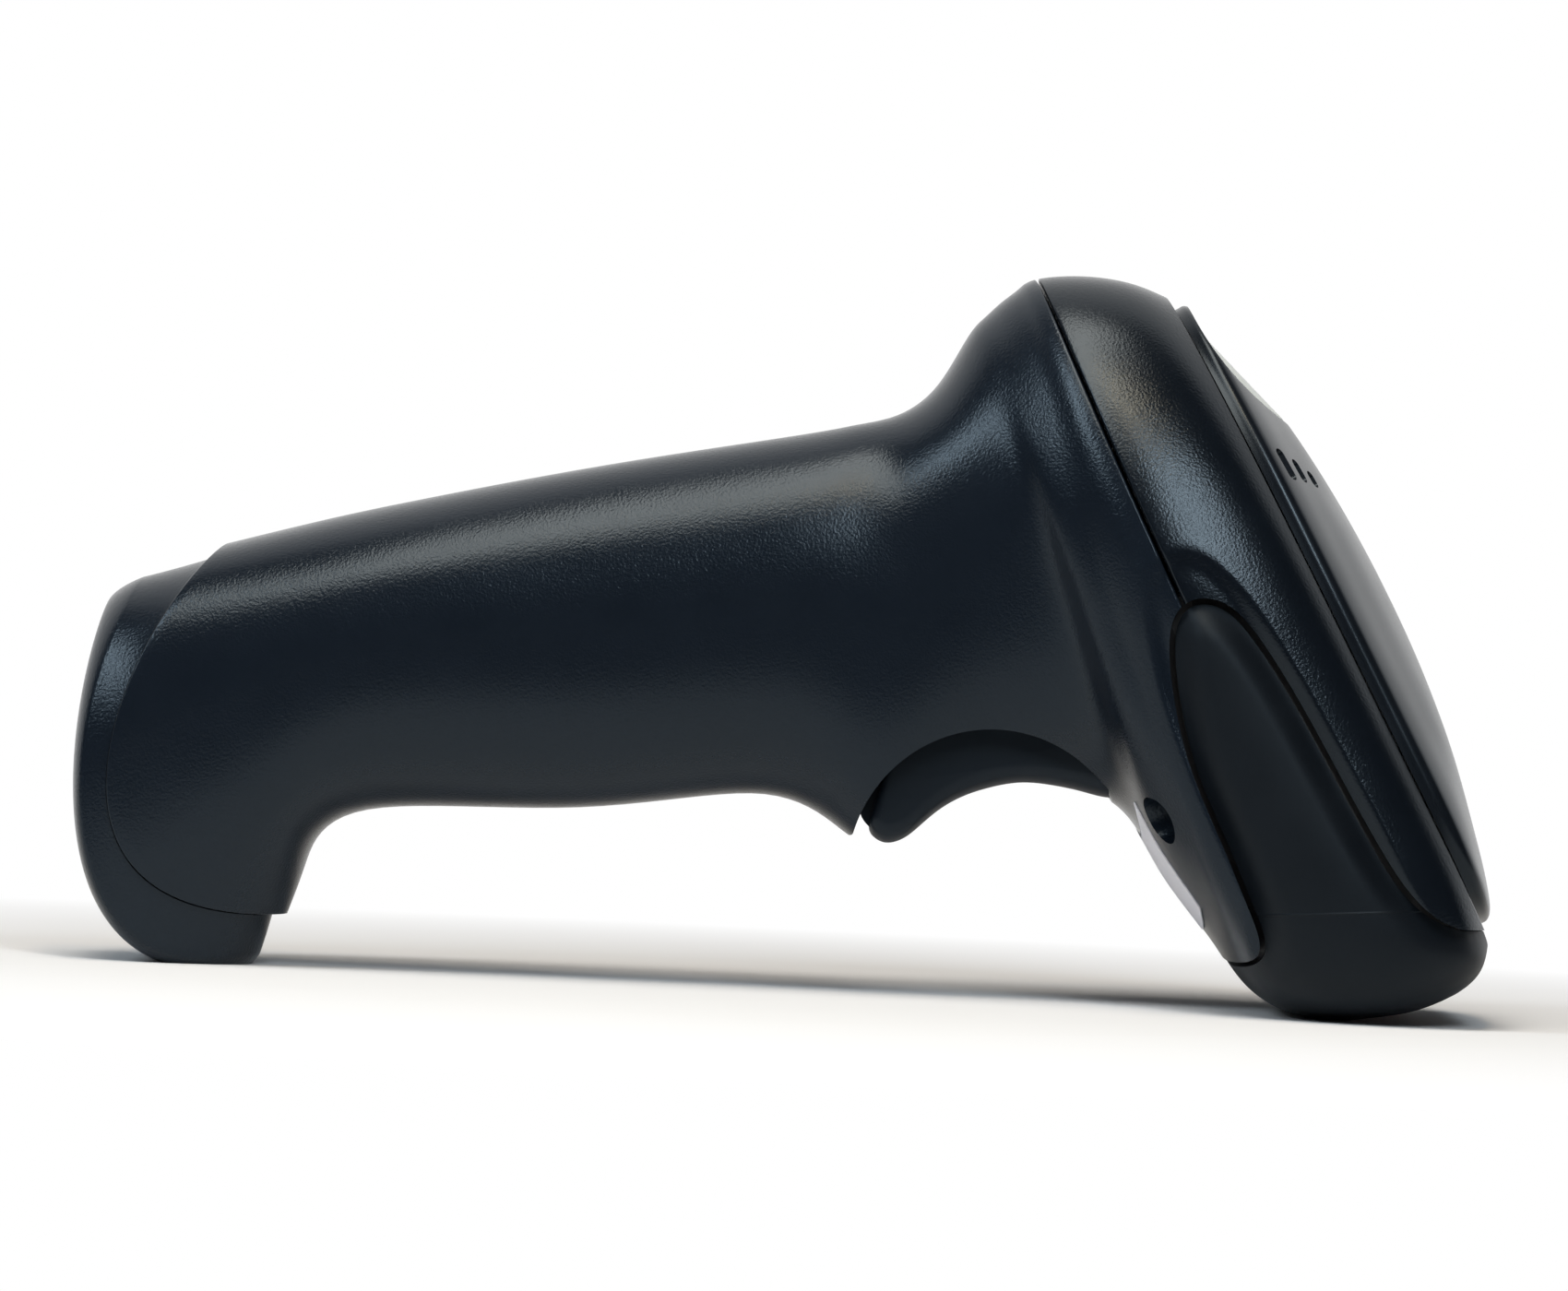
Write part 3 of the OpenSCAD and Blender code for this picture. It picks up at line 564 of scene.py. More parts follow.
def metal(name, colour, rough=(0.22, 0.38), grain=1800.0):
    """Bare metal with fine drawn marks."""
    material, tree, shader = new_material(name)
    place = object_place(tree)
    stretch = tree.nodes.new("ShaderNodeMapping")
    stretch.inputs["Scale"].default_value = (1, 1, 0.08)
    link(tree, place, stretch.inputs["Vector"])
    marks = noise(tree, stretch.outputs["Vector"], grain, 3)
    link(tree, tint(tree, marks, scaled(colour, 0.85), scaled(colour, 1.08)),
         shader.inputs["Base Color"])
    link(tree, ramp(tree, marks, 0.3, 0.7, *rough), shader.inputs["Roughness"])
    link(tree, bump(tree, marks, 0.000004), shader.inputs["Normal"])
    shader.inputs["Metallic"].default_value = 1.0
    return material


def clear(name, colour, rough=0.03, transmission=1.0, ior=1.5):
    """Clear or milky optic with faint dust in its gloss."""
    material, tree, shader = new_material(name)
    place = object_place(tree)
    dust = noise(tree, place, 900, 4)
    link(tree, tint(tree, dust, scaled(colour, 0.985), scaled(colour, 1.01)),
         shader.inputs["Base Color"])
    link(tree, ramp(tree, dust, 0.45, 0.8, rough, rough + 0.05), shader.inputs["Roughness"])
    shader.inputs["Transmission Weight"].default_value = transmission
    shader.inputs["IOR"].default_value = ior
    return material


def striped(name, base, line, scale, axis="X", rough=0.35):
    """Flexible circuit: fine tracks along the ribbon under a glossy film."""
    material, tree, shader = new_material(name)
    place = object_place(tree)
    wave = tree.nodes.new("ShaderNodeTexWave")
    wave.bands_direction = axis
    wave.inputs["Scale"].default_value = scale
    link(tree, place, wave.inputs["Vector"])
    tracks = ramp(tree, wave.outputs["Fac"], 0.45, 0.6, 0, 1)
    link(tree, tint(tree, tracks, base, line), shader.inputs["Base Color"])
    link(tree, bump(tree, tracks, 0.00002), shader.inputs["Normal"])
    shader.inputs["Roughness"].default_value = rough
    return material


def circuit_board(name, mask, track):
    """Circuit board: blocks of track under solder mask."""
    material, tree, shader = new_material(name)
    place = object_place(tree)
    cells = tree.nodes.new("ShaderNodeTexVoronoi")
    cells.distance = "CHEBYCHEV"
    cells.feature = "F2"
    cells.inputs["Scale"].default_value = 420
    link(tree, place, cells.inputs["Vector"])
    tracks = ramp(tree, cells.outputs["Distance"], 0.55, 0.6, 0, 1)
    link(tree, tint(tree, tracks, mask, track), shader.inputs["Base Color"])
    link(tree, bump(tree, tracks, 0.00002), shader.inputs["Normal"])
    shader.inputs["Roughness"].default_value = 0.32
    return material


SLATE = (0.76, 0.90, 1.0)
BOOT_LINE = (-0.0776, 0, 0.997), 0.00847  # direction across the boot's mould line, and its height


def finishes():
    """Every finish of the scanner, by the record's material slots."""
    c = colours()
    return {
        "shell": moulded("textured shell", c.shell, (0.18, 0.22), 3000, 0.000052, 0.10, 0.31,
                         gloss=SLATE),
        "cover": moulded("satin head cover", c.cover, (0.18, 0.22), 3000, 0.000042, 0.10, 0.33,
                         gloss=SLATE),
        "face": moulded("smooth face cover", c.face, (0.22, 0.27), 4200, 0.000005, 0.08, 0.30,
                        gloss=SLATE),
        "boot": moulded("boot rubber", c.boot, (0.46, 0.56), 3000, 0.000010, 0.14, 0.22,
                        gloss=SLATE, line=BOOT_LINE),
        "trigger": moulded("trigger plastic", c.trigger, (0.42, 0.50), 4200, 0.000005, 0.08, 0.25,
                           gloss=SLATE),
        "gasket": moulded("gasket rubber", (0.008, 0.008, 0.008), (0.6, 0.7), 2000, 0.00002),
        "part": moulded("black component", (0.012, 0.012, 0.013), (0.4, 0.5), 3000, 0.00001),
        "plunger": moulded("red plunger", (0.5, 0.04, 0.025), (0.35, 0.45), 3000, 0.00001),
        "cell": moulded("cell sleeve", (0.012, 0.085, 0.34), (0.22, 0.3), 900, 0.000008),
        "socket": moulded("ivory socket", (0.68, 0.64, 0.53), (0.4, 0.5), 2600, 0.00001),
        "chassis": moulded("grey chassis", (0.085, 0.09, 0.1), (0.45, 0.55), 2600, 0.00002),
        "steel": metal("bright steel", (0.62, 0.63, 0.65)),
        "brass": metal("turned brass", (0.72, 0.50, 0.18)),
        "copper": striped("enamelled copper", (0.42, 0.14, 0.035), (0.16, 0.05, 0.012), 1300, "Z",
                          0.3),
        "flex": striped("amber flex", (0.46, 0.20, 0.025), (0.20, 0.075, 0.012), 700, "Y", 0.28),
        "board": circuit_board("solder mask", (0.004, 0.075, 0.032), (0.012, 0.14, 0.06)),
        "lens": clear("milky lens", c.lens, 0.30, 0.08, 1.40),
        "led": clear("clear diode", (0.85, 0.85, 0.72), 0.1, 0.6),
        "window": clear("red filter window", (0.42, 0.015, 0.02), 0.02, 0.9),
        "optic": clear("optical glass", (0.82, 0.90, 0.95), 0.01, 1.0),
        "mirror": metal("mirror coating", (0.88, 0.90, 0.93), (0.02, 0.05)),
        "label": moulded("blank label", c.label, (0.5, 0.6), 1600, 0.000006, 0.05, 0.4),
    }


FINISH = {}


def finish(slot):
    if not FINISH:
        FINISH.update(finishes())
    return FINISH[slot]


EAR_GAP = 0.3
WELL_ALONG, WELL_SIDE = 56, 20.4
BOSS_RADIUS, WELL_RADIUS, HOLE_RADIUS = 4.5, 3.3, 1.4
OPENING_AT = (26.4, 0, 16.6)
GUARD_WALL, TRIGGER_ROOM = 1.7, 9.5
LIP_MIDDLE, LIP_RADIUS, LIP_TURNS = (8.44, 20.57), 0.5, (-12.7, -124.8)
LIP_OUTSIDE = [(7.95, 19.82), (8.5, 18.6), (9.6, 18.9), (9.42, 20.35)]


def edge_steps(s, ds, r, count=4):
    """Places and insets that round an edge of a shell, from the surface to the edge itself."""
    return [(s - ds * (1 - math.sin(a)), r * (1 - math.cos(a)))
            for a in np.linspace(0, math.pi / 2, count + 1)]


class SCANNER_OT_rear_housing(bpy.types.Operator):
    """Handle, neck and rear of the head, with the trigger opening and the screw wells"""

    bl_idname = "scanner.rear_housing"
    bl_label = "Rear housing"

    def execute(self, context):
        body = body_spline()
        wall = sizes().wall / MM
        steps = [(s, r) for s, r in reversed(edge_steps(0.0, -0.012, 0.2))]
        steps += [(s, 0.0) for s in np.arange(0.1, 9.0, 0.1)]
        steps += [(s, 0.0) for s in np.arange(9.0, SEAM - 0.08, 0.05)]
        steps += edge_steps(SEAM, 0.05, 0.45)
        outer = with_recess([section(body(s), r, r, FINE) for s, r in steps])
        inner = [section(body(s), wall, wall, FINE) for s in np.linspace(SEAM, 0, 50)]
        piece = loft("housing", outer + inner, closed=True)
        combine(piece, prism("ear gap", boot_outline(EAR_GAP)))
        self.screw_wells(piece, body)
        self.trigger_opening(piece, body)
        finish_piece(piece, finish("shell"), "body", ["rear_housing"])
        return {"FINISHED"}

    def screw_wells(self, piece, body):
        """A boss with its well and screw hole on each side of the label."""
        for y in (-WELL_SIDE, WELL_SIDE):
            well = HEAD @ Matrix.Translation((WELL_ALONG, y, 0))
            boss = rod("boss", well, BOSS_RADIUS, -44, -16.5)
            inside = [section(body(s), 0.7, 0.7, 64) for s in np.linspace(9.5, SEAM, 30)]
            combine(boss, loft("inside", inside), "INTERSECT")
            combine(piece, boss, "UNION")
            combine(piece, rod("well", well, WELL_RADIUS, -46, -18.5))
            combine(piece, rod("screw hole", well, HOLE_RADIUS, -20, -10))

    def trigger_opening(self, piece, body):
        """Round opening with its guard beside the trigger and a rounded lip."""
        opening = crosswise(OPENING_AT)
        radius = sizes().opening_radius / MM
        guard = rod("trigger guard", opening, radius + GUARD_WALL, -16, 16, 200)
        inside = [section(body(s), 1.0, 1.0, 64) for s in np.linspace(4.6, 10.8, 40)]
        combine(guard, loft("guard inside", inside), "INTERSECT")
        room = [(0, -10), (60, -10), (60, 60), (0, 60)]
        combine(guard, prism("trigger room", room, -TRIGGER_ROOM, TRIGGER_ROOM))
        combine(piece, guard, "UNION")
        combine(piece, rod("opening", opening, radius, -ASIDE, ASIDE, 200))
        lip = [(LIP_MIDDLE[0] + LIP_RADIUS * math.cos(a), LIP_MIDDLE[1] + LIP_RADIUS * math.sin(a))
               for a in np.radians(np.linspace(*LIP_TURNS, 12))]
        combine(piece, prism("lip edge", lip + LIP_OUTSIDE))


class SCANNER_OT_head_cover(bpy.types.Operator):
    """Rounded band in front of the seam, with the floor of the groove round the face"""

    bl_idname = "scanner.head_cover"
    bl_label = "Head cover"

    def execute(self, context):
        body = body_spline()
        wall = sizes().wall / MM
        start = SEAM + 0.06
        inner = [section(body(s), wall, wall, FINE) for s in np.linspace(FRONT - 0.7, start, 16)]
        steps = [(s, r) for s, r in reversed(edge_steps(start, -0.05, 0.45))]
        steps += [(s, 0.0) for s in np.arange(start + 0.08, FRONT - 0.02, 0.05)]
        outer = with_recess([section(body(s), r, r, FINE) for s, r in steps])
        front = [section(body(FRONT), r, r, FINE) for r in (0.0, 0.5, 1.5, 4.0)]
        piece = loft("head_band", inner + outer + front)
        combine(piece, prism("ear gap", boot_outline(EAR_GAP)))
        finish_piece(piece, finish("cover"), "body", ["head_cover"])
        return {"FINISHED"}


FACE_PROFILE = [(1, 0.25), (1, 0.9), (1, 1.5), (0.987, 2.2), (0.95, 2.9), (0.87, 3.9), (0.75, 5.1),
                (0.6, 6.5), (0.44, 7.6), (0.26, 8.4), (0.1, 8.8)]
FACE_START, FACE_LENGTH, FACE_MIDDLE = -1, 87.05, 42.0
CROWN_INSET, NOSE_INSET = 5.9, 6.6
SCOOP_RADIUS, SCOOP_RISE = 29, 27.7
BEEPER_SLOTS = ((11.8, 26, 2.5), (14.6, 24.3, 3.5), (17.4, 22.8, 4.7))  # side, place, length
SLOT_WIDTH, SLOT_RADIUS, SLOT_TURN = 1.7, 0.84, math.radians(15)


def face_ring(share, height):
    """Rim outline of the face drawn in towards its middle, in the frame of the head."""
    t = (1 + ROUND) / 2
    crown = sizes().crown_half_width / MM - CROWN_INSET
    nose = sizes().nose_half_width / MM - NOSE_INSET
    upper = ROUND < 0
    fullness, squareness = np.where(upper, 2.3, 7), np.where(upper, 0.5, 0.33)
    w = crown + (nose - crown) * t
    y = w * np.maximum(0, 1 - np.abs(ROUND) ** fullness) ** squareness
    h = FACE_START + FACE_LENGTH * t
    rim = even_ring(np.stack([h, y, np.zeros_like(h)], 1), RING)
    middle = np.array((FACE_MIDDLE, 0, 0))
    ring = middle + (rim - middle) * share
    ring[:, 2] = height
    return ring


class SCANNER_OT_face_cover(bpy.types.Operator):
    """Domed face with the scooped seat of the lens and the beeper slots"""

    bl_idname = "scanner.face_cover"
    bl_label = "Face cover"

    def execute(self, context):
        rise = sizes().face_height / MM / 8.8
        profile = Spline(FACE_PROFILE)
        rings = []
        for s in np.linspace(0, len(FACE_PROFILE) - 1, 90):
            share, height = profile(s)
            rings.append(placed(face_ring(share, max(0.25, height * rise)), HEAD))
        for share in (0.07, 0.04, 0.015):
            rings.append(placed(face_ring(share, (8.8 + (0.1 - share) * 0.4) * rise), HEAD))
        piece = loft("face_panel", rings)
        scoop = LENS @ crosswise((0, 0, SCOOP_RISE))
        combine(piece, rod("scoop", scoop, SCOOP_RADIUS, -22, 22, 240))
        combine(piece, lens_body("lens seat", 0.25, -2.4, 6.0))
        for side in (-1, 1):
            for y, h, length in BEEPER_SLOTS:
                at = HEAD @ Matrix.Translation((h, side * y, 0))
                at = at @ Matrix.Rotation(side * SLOT_TURN, 4, "Z")
                combine(piece, bar("slot", at, length, SLOT_WIDTH, SLOT_RADIUS, 1.0, 12))
        finish_piece(piece, finish("face"), "body", ["face_cover"])
        return {"FINISHED"}


def lens_ring(half_width):
    """Outline of the lens along and across the face."""
    ratio = sizes().lens_length / sizes().lens_width
    a = around(96)
    return ratio * half_width * np.cos(a), half_width * np.sin(a)


def lens_body(name, grow, low, high):
    """Prism on the outline of the lens."""
    x, y = lens_ring(sizes().lens_width / MM / 2 + grow)
    return loft(name, [placed(np.stack([x, y, np.full_like(x, z)], 1), LENS) for z in (low, high)])


LENS_CROWN, LENS_DEPTH = 23, 2.0
LENS_EDGE = ((1, 0.35), (0.99, 0.16), (0.97, 0.05), (0.94, 0), (0.8, 0), (0.6, 0), (0.4, 0),
             (0.2, 0), (0.05, 0))  # share of the width, and drop below the crown


class SCANNER_OT_indicator_lens(bpy.types.Operator):
    """Milky lens at the top of the face, crowned across and softened round its edge"""

    bl_idname = "scanner.indicator_lens"
    bl_label = "Indicator lens"

    def execute(self, context):
        half = sizes().lens_width / MM / 2
        x, y = lens_ring(half)
        rings = [placed(np.stack([x, y, np.full_like(x, -LENS_DEPTH)], 1), LENS)]
        for share, drop in LENS_EDGE:
            x, y = lens_ring(share * half)
            z = np.sqrt(LENS_CROWN ** 2 - y ** 2) - LENS_CROWN - drop
            rings.append(placed(np.stack([x, y, z], 1), LENS))
        piece = loft("lens", rings)
        finish_piece(piece, finish("lens"), "body", ["indicator_lens"])
        return {"FINISHED"}


BOOT_GAP, PILLOW_DROP, PILLOW_WIDTH = 0.45, 1.7, 4.2


class SCANNER_OT_nose_boot(bpy.types.Operator):
    """Rubber rim of the nose with a pillowed ear up each side and the mouth for the window"""

    bl_idname = "scanner.nose_boot"
    bl_label = "Nose boot"

    def execute(self, context):
        body = body_spline()
        thick = sizes().boot_wall / MM
        outline = boot_outline(-BOOT_GAP)
        rings = []
        for s in np.concatenate([np.arange(9.6, FRONT - 0.01, 0.05), [FRONT]]):
            ring = section(body(s), BOOT_GAP, 0.4)
            edge = depth_inside(ring[:, [0, 2]], outline)
            sideways = ease((np.abs(ring[:, 1]) - 6) / 8)
            fall = PILLOW_DROP * (1 - ease(edge / PILLOW_WIDTH)) ** 1.5 * sideways
            ring[:, 1] -= np.sign(ring[:, 1]) * fall
            rings.append(ring)
        piece = loft("boot", rings)
        combine(piece, prism("ear outline", outline), "INTERSECT")
        slice_off(piece, (0, 0, 0.02), (0, 0, -1))
        hollow = loft("hollow", [section(body(s), thick, thick, 96)
                                 for s in np.linspace(9.4, FRONT - 0.2, 60)])
        turn = MOUTH.to_3x3()
        slice_off(hollow, placed([(-4.6, 0, 0)], MOUTH)[0], turn @ Vector((1, 0, 0)))
        combine(piece, hollow)
        across = MOUTH @ Matrix.Rotation(math.pi / 2, 4, "Y")
        combine(piece, bar("mouth", across, 14, 43, 5, -12, 10))
        finish_piece(piece, finish("boot"), "body", ["nose_boot"])
        return {"FINISHED"}


class SCANNER_OT_end_cap(bpy.types.Operator):
    """Cap on the end of the handle, set in from it, with the charging recess"""

    bl_idname = "scanner.end_cap"
    bl_label = "End cap"

    def execute(self, context):
        h = sizes().handle_width / MM / 2
        wall, step = sizes().wall / MM, sizes().cap_step / MM
        edge = sizes().cap_edge / MM
        body = body_spline()
        seam = body(0)
        end = station((-86.6, 47.6), (-66.5, -0.5), h, h, 2.6, 3, 2, 1,
                      (-11.3, 0.4), (-22.2, -21.2))
        sleeve, slip, rim = wall + 1.8, wall + 0.25, 0.6

        def key(f, slant=1.0):
            made = seam + (end - seam) * f
            made[12:14] = 2, slant
            return made

        inner = [section(key(0.74), wall + 3.2, wall + 3.2)]
        inner += [section(key(f), sleeve, sleeve) for f in np.linspace(0.55, 0.02, 10)]
        inner += [section(body(s), sleeve, sleeve) for s in (0.25, 0.5)]
        outer = [section(body(s), slip, slip) for s in (0.5, 0.25, 0.0)]
        outer += [section(key(f, 0.4), step, 2.2 * (1 - f)) for f in np.linspace(0.02, 0.70, 24)]
        for a in np.radians(np.linspace(0, 90, 14)):
            turn = 1 - math.cos(a)
            outer.append(section(key(0.72 + 0.28 * math.sin(a), 0.4), step + edge * turn,
                                 rim + edge * turn * 0.4))
        for share in np.linspace(0.1, 1, 10):
            outer.append(section(key(1, 0.4), step + edge + share * 10.6,
                                 rim + edge * 0.4 + share * 7))
        piece = loft("heel_cap", inner + outer)
        slice_off(piece, (0, 0, 0), (0, 0, -1))
        socket = HANDLE @ Matrix.Translation((-75, 0, -7.9)) @ Matrix.Rotation(math.pi / 2, 4, "Y")
        combine(piece, bar("socket slot", socket, 5, 11, 2.2, 0, 20))
        recess = turned((-100, 0, 24.4), 90)
        combine(piece, bar("socket recess", recess, 7.6, 13.6, 3, 0, 12.2))
        finish_piece(piece, finish("shell"), "body", ["end_cap"])
        return {"FINISHED"}


TRIGGER_KEYS = [(13.6, 19.35), (12.4, 19.5), (11.3, 20.25), (10.95, 21.2), (11.2, 22.4),
                (11.6, 24.2), (12.2, 27), (13, 30), (14.8, 32.2), (17, 33.6), (20, 34.6),
                (24, 35.4), (30, 36), (36, 36.4), (40, 36), (42.3, 34), (43.3, 31.5), (43.7, 29),
                (43.3, 27.4), (42.2, 26.5), (40, 26.55), (37.2, 27.15), (33.5, 27.7),
                (29.5, 27.75), (25.5, 26.8), (22.5, 25.6), (20, 24.05), (18, 22.3), (16.2, 20.6),
                (14.8, 19.7)]
TONGUE = [(13.4, 27.7), (8.8, 27.1), (8.8, 23.45), (9.75, 22.85), (9.95, 22.4), (10.3, 21.9),
          (11.3, 20.9), (12.4, 20.6), (13.4, 22.85)]
TONGUE_HALF = 3.9
PIN_AT, PIN_BORE = (38.5, 0, 32.3), 1.3
POCKET_AT, POCKET_RADIUS = (28.5, 0, 34.15), 3


class SCANNER_OT_trigger(bpy.types.Operator):
    """Trigger with a hollowed finger face and rounded sides"""

    bl_idname = "scanner.trigger"
    bl_label = "Trigger"

    def execute(self, context):
        keys = TRIGGER_KEYS
        count = len(keys)
        wrapped = Spline(keys[-4:] + keys + keys[:4])
        line = np.array([wrapped(4 + i / 6) for i in range(count * 6)])
        ahead = np.roll(line, -1, axis=0) - np.roll(line, 1, axis=0)
        ahead /= np.linalg.norm(ahead, axis=1)[:, None]
        inward = np.stack([-ahead[:, 1], ahead[:, 0]], 1)
        after = np.roll(line, -1, axis=0)
        if np.sum(line[:, 0] * after[:, 1] - line[:, 1] * after[:, 0]) < 0:
            inward = -inward
        half, soft = 9.0, 1.3
        turns = np.radians(np.linspace(0, 90, 7))
        rows = [(-half + soft * (1 - math.cos(a)), soft * (1 - math.sin(a))) for a in turns]
        rows += [(y, 0.0) for y in np.linspace(-half + soft, half - soft, 17)[1:-1]]
        rows += [(half - soft * (1 - math.cos(a)), soft * (1 - math.sin(a))) for a in turns[::-1]]
        rings = []
        for y, inset in rows:
            outline = line + inward * inset
            lift = 1.5 * (abs(y) / half) ** 3 * ease((33 - outline[:, 1]) / 6)
            rings.append(np.stack([outline[:, 0], np.full(len(outline), y),
                                   outline[:, 1] + lift], 1))
        piece = loft("trigger_blade", rings)
        combine(piece, prism("tongue", TONGUE, -TONGUE_HALF, TONGUE_HALF), "UNION")
        combine(piece, rod("pin bore", crosswise(PIN_AT), PIN_BORE, -20, 20, 48))
        pocket = Matrix.Translation(POCKET_AT)
        combine(piece, rod("spring pocket", pocket, POCKET_RADIUS, 0, 10, 48))
        finish_piece(piece, finish("trigger"), "trigger", ["trigger"])
        return {"FINISHED"}


class SCANNER_OT_trigger_spring(bpy.types.Operator):
    """Coil spring over the trigger, which a pulled trigger presses shorter; here it is built at one
    length.
    """

    bl_idname = "scanner.trigger_spring"
    bl_label = "Trigger spring"

    def execute(self, context):
        middle, low, high, radius, wire, turns = 28.5, 34.2, 39.6, 2.25, 0.25, 5
        a = around(12)
        rings = []
        for share in np.linspace(0, 1, turns * 24 + 1):
            turn = 2 * math.pi * turns * share
            out = radius + wire * np.cos(a)
            rise = low + wire + (high - low - 2 * wire) * share
            rings.append(np.stack([middle + out * math.cos(turn), out * math.sin(turn),
                                   rise + wire * np.sin(a)], 1))
        piece = loft("coil_spring", rings)
        finish_piece(piece, finish("steel"), "body", ["trigger_spring"], 60)
        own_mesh(piece)
        return {"FINISHED"}


class SCANNER_OT_label(bpy.types.Operator):
    """Blank label on the underside, bent to the surface"""

    bl_idname = "scanner.label"
    bl_label = "Blank label"

    def execute(self, context):
        body = body_spline()
        first, last, half_width, proud, sunk = 9.55, 10.75, 15.5, 0.14, 0.05
        count = 960
        bottom = count // 2
        rings = []
        columns = np.linspace(-1, 1, 41)
        for s in np.linspace(first, last, 40):
            ring = section(body(s), 0, 0, count)
            quarter = ring[bottom:bottom + count // 4]
            run = np.cumsum(np.linalg.norm(np.diff(quarter, axis=0), axis=1))
            reach = int(np.searchsorted(run, half_width))
            rings.append(np.array([ring[int(round(bottom + c * reach)) % count] for c in columns]))
        grid = np.array(rings)
        along = np.gradient(grid, axis=0)
        across = np.gradient(grid, axis=1)
        normal = np.cross(along, across)
        normal /= np.linalg.norm(normal, axis=2)[:, :, None]
        if normal[20, 20, 2] > 0:
            normal = -normal
        top = grid + normal * proud
        low = grid - normal * sunk
        strips = [np.concatenate([t, b[::-1]]) for t, b in zip(top, low)]
        piece = loft("label", strips)
        finish_piece(piece, finish("label"), "body")
        return {"FINISHED"}


class SCANNER_OT_inner_parts(bpy.types.Operator):
    """Finishes for the parts that keep their solid: screws, window, boards, cell and engine"""

    bl_idname = "scanner.inner_parts"
    bl_label = "Inner parts"

    def execute(self, context):
        slots = {part["node"]: part["material_slot"] for part in FRAME["record"]["subparts"]}
        for name, node in FRAME["nodes"].items():
            node.data.materials.clear()
            node.data.materials.append(finish(slots[name]))
        return {"FINISHED"}


LAMPS = (  # name, turn, rise, distance, size, power, colour
    ("front softbox", 15, 35, 0.75, (0.14, 0.36), 2.1, (0.86, 0.94, 1.0)),
    ("left softbox", -54, 36, 0.75, (0.13, 0.38), 1.7, (0.82, 0.92, 1.0)),
    ("top softbox", -25, 68, 0.75, (0.24, 0.66), 3.6, (1.0, 0.94, 0.86)),
    ("warm bar", 5, 60, 0.72, (0.07, 0.20), 0.8, (1.0, 0.80, 0.58)),
    ("rim softbox", 133, 18, 0.85, (0.6, 0.5), 0.3, (1.0, 1.0, 1.0)))
LAMP_AIM = Vector((0, 0, 0.05))
CAMERA_AT, CAMERA_ROLL = (-0.001, -1.1111, 0.0438), math.radians(2.7557)
WHITE = (1, 1, 1, 1)


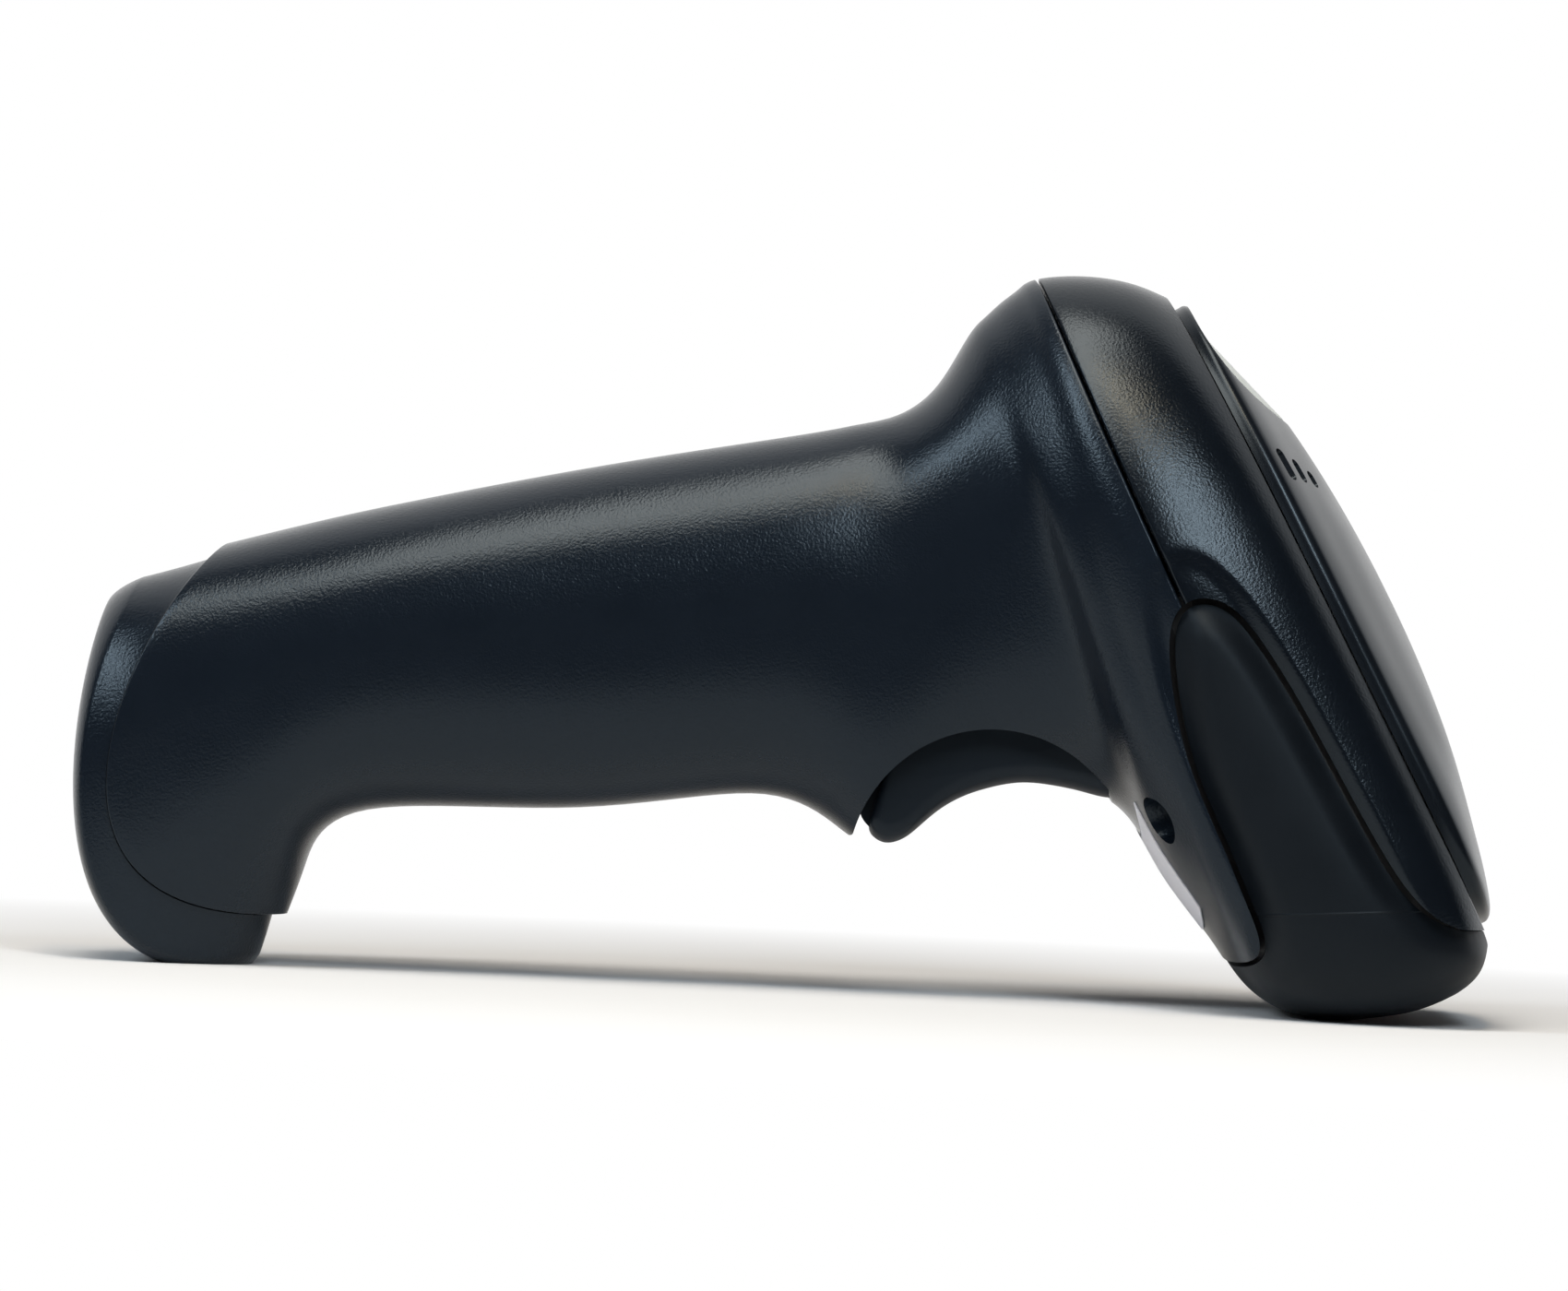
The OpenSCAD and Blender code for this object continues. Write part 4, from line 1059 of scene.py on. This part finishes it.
class SCANNER_OT_stage(bpy.types.Operator):
    """Pale floor, soft studio lamps and the camera at the side of the scanner"""

    bl_idname = "scanner.stage"
    bl_label = "Stage"

    def execute(self, context):
        scene = context.scene
        scene.view_settings.view_transform = "Standard"
        self.floor(context)
        self.world(scene)
        for lamp in LAMPS:
            self.lamp(*lamp)
        self.camera(context)
        return {"FINISHED"}

    def floor(self, context):
        """Pale paper that shows as plain white away from the scanner and keeps its shadow near it.
        Gloss and glass see it white behind the scanner, and gloss sees it darkened in front, which
        is painted shade in the scanner's reflections."""
        bpy.ops.object.select_all(action="DESELECT")
        bpy.ops.mesh.primitive_plane_add(size=8, location=(0, 3.7, 0))
        bpy.ops.object.transform_apply()
        surface = context.object
        surface.name = surface.data.name = "floor"
        material, tree, shader = new_material("pale floor")
        place = object_place(tree)
        pale = tuple(colours().floor)
        paper = tint(tree, noise(tree, place, 3, 2), scaled(pale, 0.985), pale)
        # Painted shade: to gloss rays the floor in front of the scanner turns to 0.04 of its colour,
        # so the scanner's reflections show it dark though the lamps light it.
        gloss = tree.nodes.new("ShaderNodeLightPath").outputs["Is Glossy Ray"]
        front = ramp(tree, level(tree, place, "Y"), -0.04, -0.3, 0, 1)
        link(tree, tint(tree, both(tree, gloss, front), paper, scaled(pale, 0.04)),
             shader.inputs["Base Color"])
        shader.inputs["Roughness"].default_value = 0.9
        shader.inputs["Specular IOR Level"].default_value = 0.1
        distance = tree.nodes.new("ShaderNodeVectorMath")
        distance.operation = "LENGTH"
        link(tree, place, distance.inputs[0])
        away = ramp(tree, distance.outputs["Value"], 0.09, 0.24, 0, 1)
        white = tree.nodes.new("ShaderNodeEmission")
        white.inputs["Color"].default_value = WHITE
        mix = tree.nodes.new("ShaderNodeMixShader")
        link(tree, both(tree, sees_white(tree, place, 0.2), away), mix.inputs["Fac"])
        link(tree, shader.outputs["BSDF"], mix.inputs[1])
        link(tree, white.outputs["Emission"], mix.inputs[2])
        link(tree, mix.outputs["Shader"], tree.nodes["Material Output"].inputs["Surface"])
        surface.data.materials.append(material)

    def world(self, scene):
        """Dim soft room. The camera sees it white, and so do gloss and glass behind the scanner."""
        world = bpy.data.worlds.new("studio")
        scene.world = world
        world.use_nodes = True
        tree = world.node_tree
        soft = tree.nodes["Background"]
        soft.inputs["Color"].default_value = (0.90, 0.95, 1.0, 1)
        soft.inputs["Strength"].default_value = 0.03
        white = tree.nodes.new("ShaderNodeBackground")
        white.inputs["Color"].default_value = WHITE
        way = tree.nodes.new("ShaderNodeTexCoord").outputs["Generated"]
        mix = tree.nodes.new("ShaderNodeMixShader")
        link(tree, sees_white(tree, way, 0.3), mix.inputs["Fac"])
        link(tree, soft.outputs["Background"], mix.inputs[1])
        link(tree, white.outputs["Background"], mix.inputs[2])
        link(tree, mix.outputs["Shader"], tree.nodes["World Output"].inputs["Surface"])

    def lamp(self, name, turn, rise, away, size, power, colour):
        """Lamp aimed at the scanner, from a turn right of the camera and a rise, in degrees."""
        turn, rise = math.radians(turn), math.radians(rise)
        way = Vector((math.cos(rise) * math.sin(turn), -math.cos(rise) * math.cos(turn),
                      math.sin(rise)))
        at = LAMP_AIM + away * way
        bpy.ops.object.light_add(type="AREA", location=at)
        lamp = bpy.context.object
        lamp.name = name
        lamp.data.shape = "RECTANGLE"
        lamp.data.size, lamp.data.size_y = size
        lamp.data.energy = power
        lamp.data.color = colour
        lamp.rotation_euler = (LAMP_AIM - at).to_track_quat("-Z", "Y").to_euler()

    def camera(self, context):
        bpy.ops.object.camera_add(location=CAMERA_AT)
        camera = context.object
        camera.name = "photo camera"
        camera.data.lens = 200
        camera.data.sensor_width = 36
        camera.data.clip_end = 20
        level = Matrix.Rotation(math.pi / 2, 3, "X")
        roll = Matrix.Rotation(CAMERA_ROLL, 3, "Z")
        camera.rotation_euler = (level @ roll).to_euler()
        context.scene.camera = camera


class SCANNER_PT_pieces(bpy.types.Panel):
    """Sizes, colours and steps of the scanner"""

    bl_idname = "SCANNER_PT_pieces"
    bl_label = "Barcode scanner"
    bl_space_type = "VIEW_3D"
    bl_region_type = "UI"
    bl_category = "Scanner"

    def draw(self, context):
        for group in (context.scene.scanner_sizes, context.scene.scanner_colours):
            for name in group.__annotations__:
                self.layout.prop(group, name)
        for step in STEPS:
            self.layout.operator(step.bl_idname)


STEPS = (SCANNER_OT_inner_parts, SCANNER_OT_rear_housing, SCANNER_OT_head_cover,
         SCANNER_OT_face_cover, SCANNER_OT_indicator_lens, SCANNER_OT_nose_boot,
         SCANNER_OT_end_cap, SCANNER_OT_trigger, SCANNER_OT_trigger_spring, SCANNER_OT_label,
         SCANNER_OT_stage)
CLASSES = (ScannerSizes, ScannerColours, *STEPS, SCANNER_PT_pieces)


def register():
    for item in CLASSES:
        bpy.utils.register_class(item)
    bpy.types.Scene.scanner_sizes = bpy.props.PointerProperty(type=ScannerSizes)
    bpy.types.Scene.scanner_colours = bpy.props.PointerProperty(type=ScannerColours)


def unregister():
    del bpy.types.Scene.scanner_colours
    del bpy.types.Scene.scanner_sizes
    for item in reversed(CLASSES):
        bpy.utils.unregister_class(item)


def main():
    register()
    bpy.ops.scanner.inner_parts()
    bpy.ops.scanner.rear_housing()
    bpy.ops.scanner.head_cover()
    bpy.ops.scanner.face_cover()
    bpy.ops.scanner.indicator_lens()
    bpy.ops.scanner.nose_boot()
    bpy.ops.scanner.end_cap()
    bpy.ops.scanner.trigger()
    bpy.ops.scanner.trigger_spring()
    bpy.ops.scanner.label()
    bpy.ops.scanner.stage()


if __name__ == "__main__":
    main()
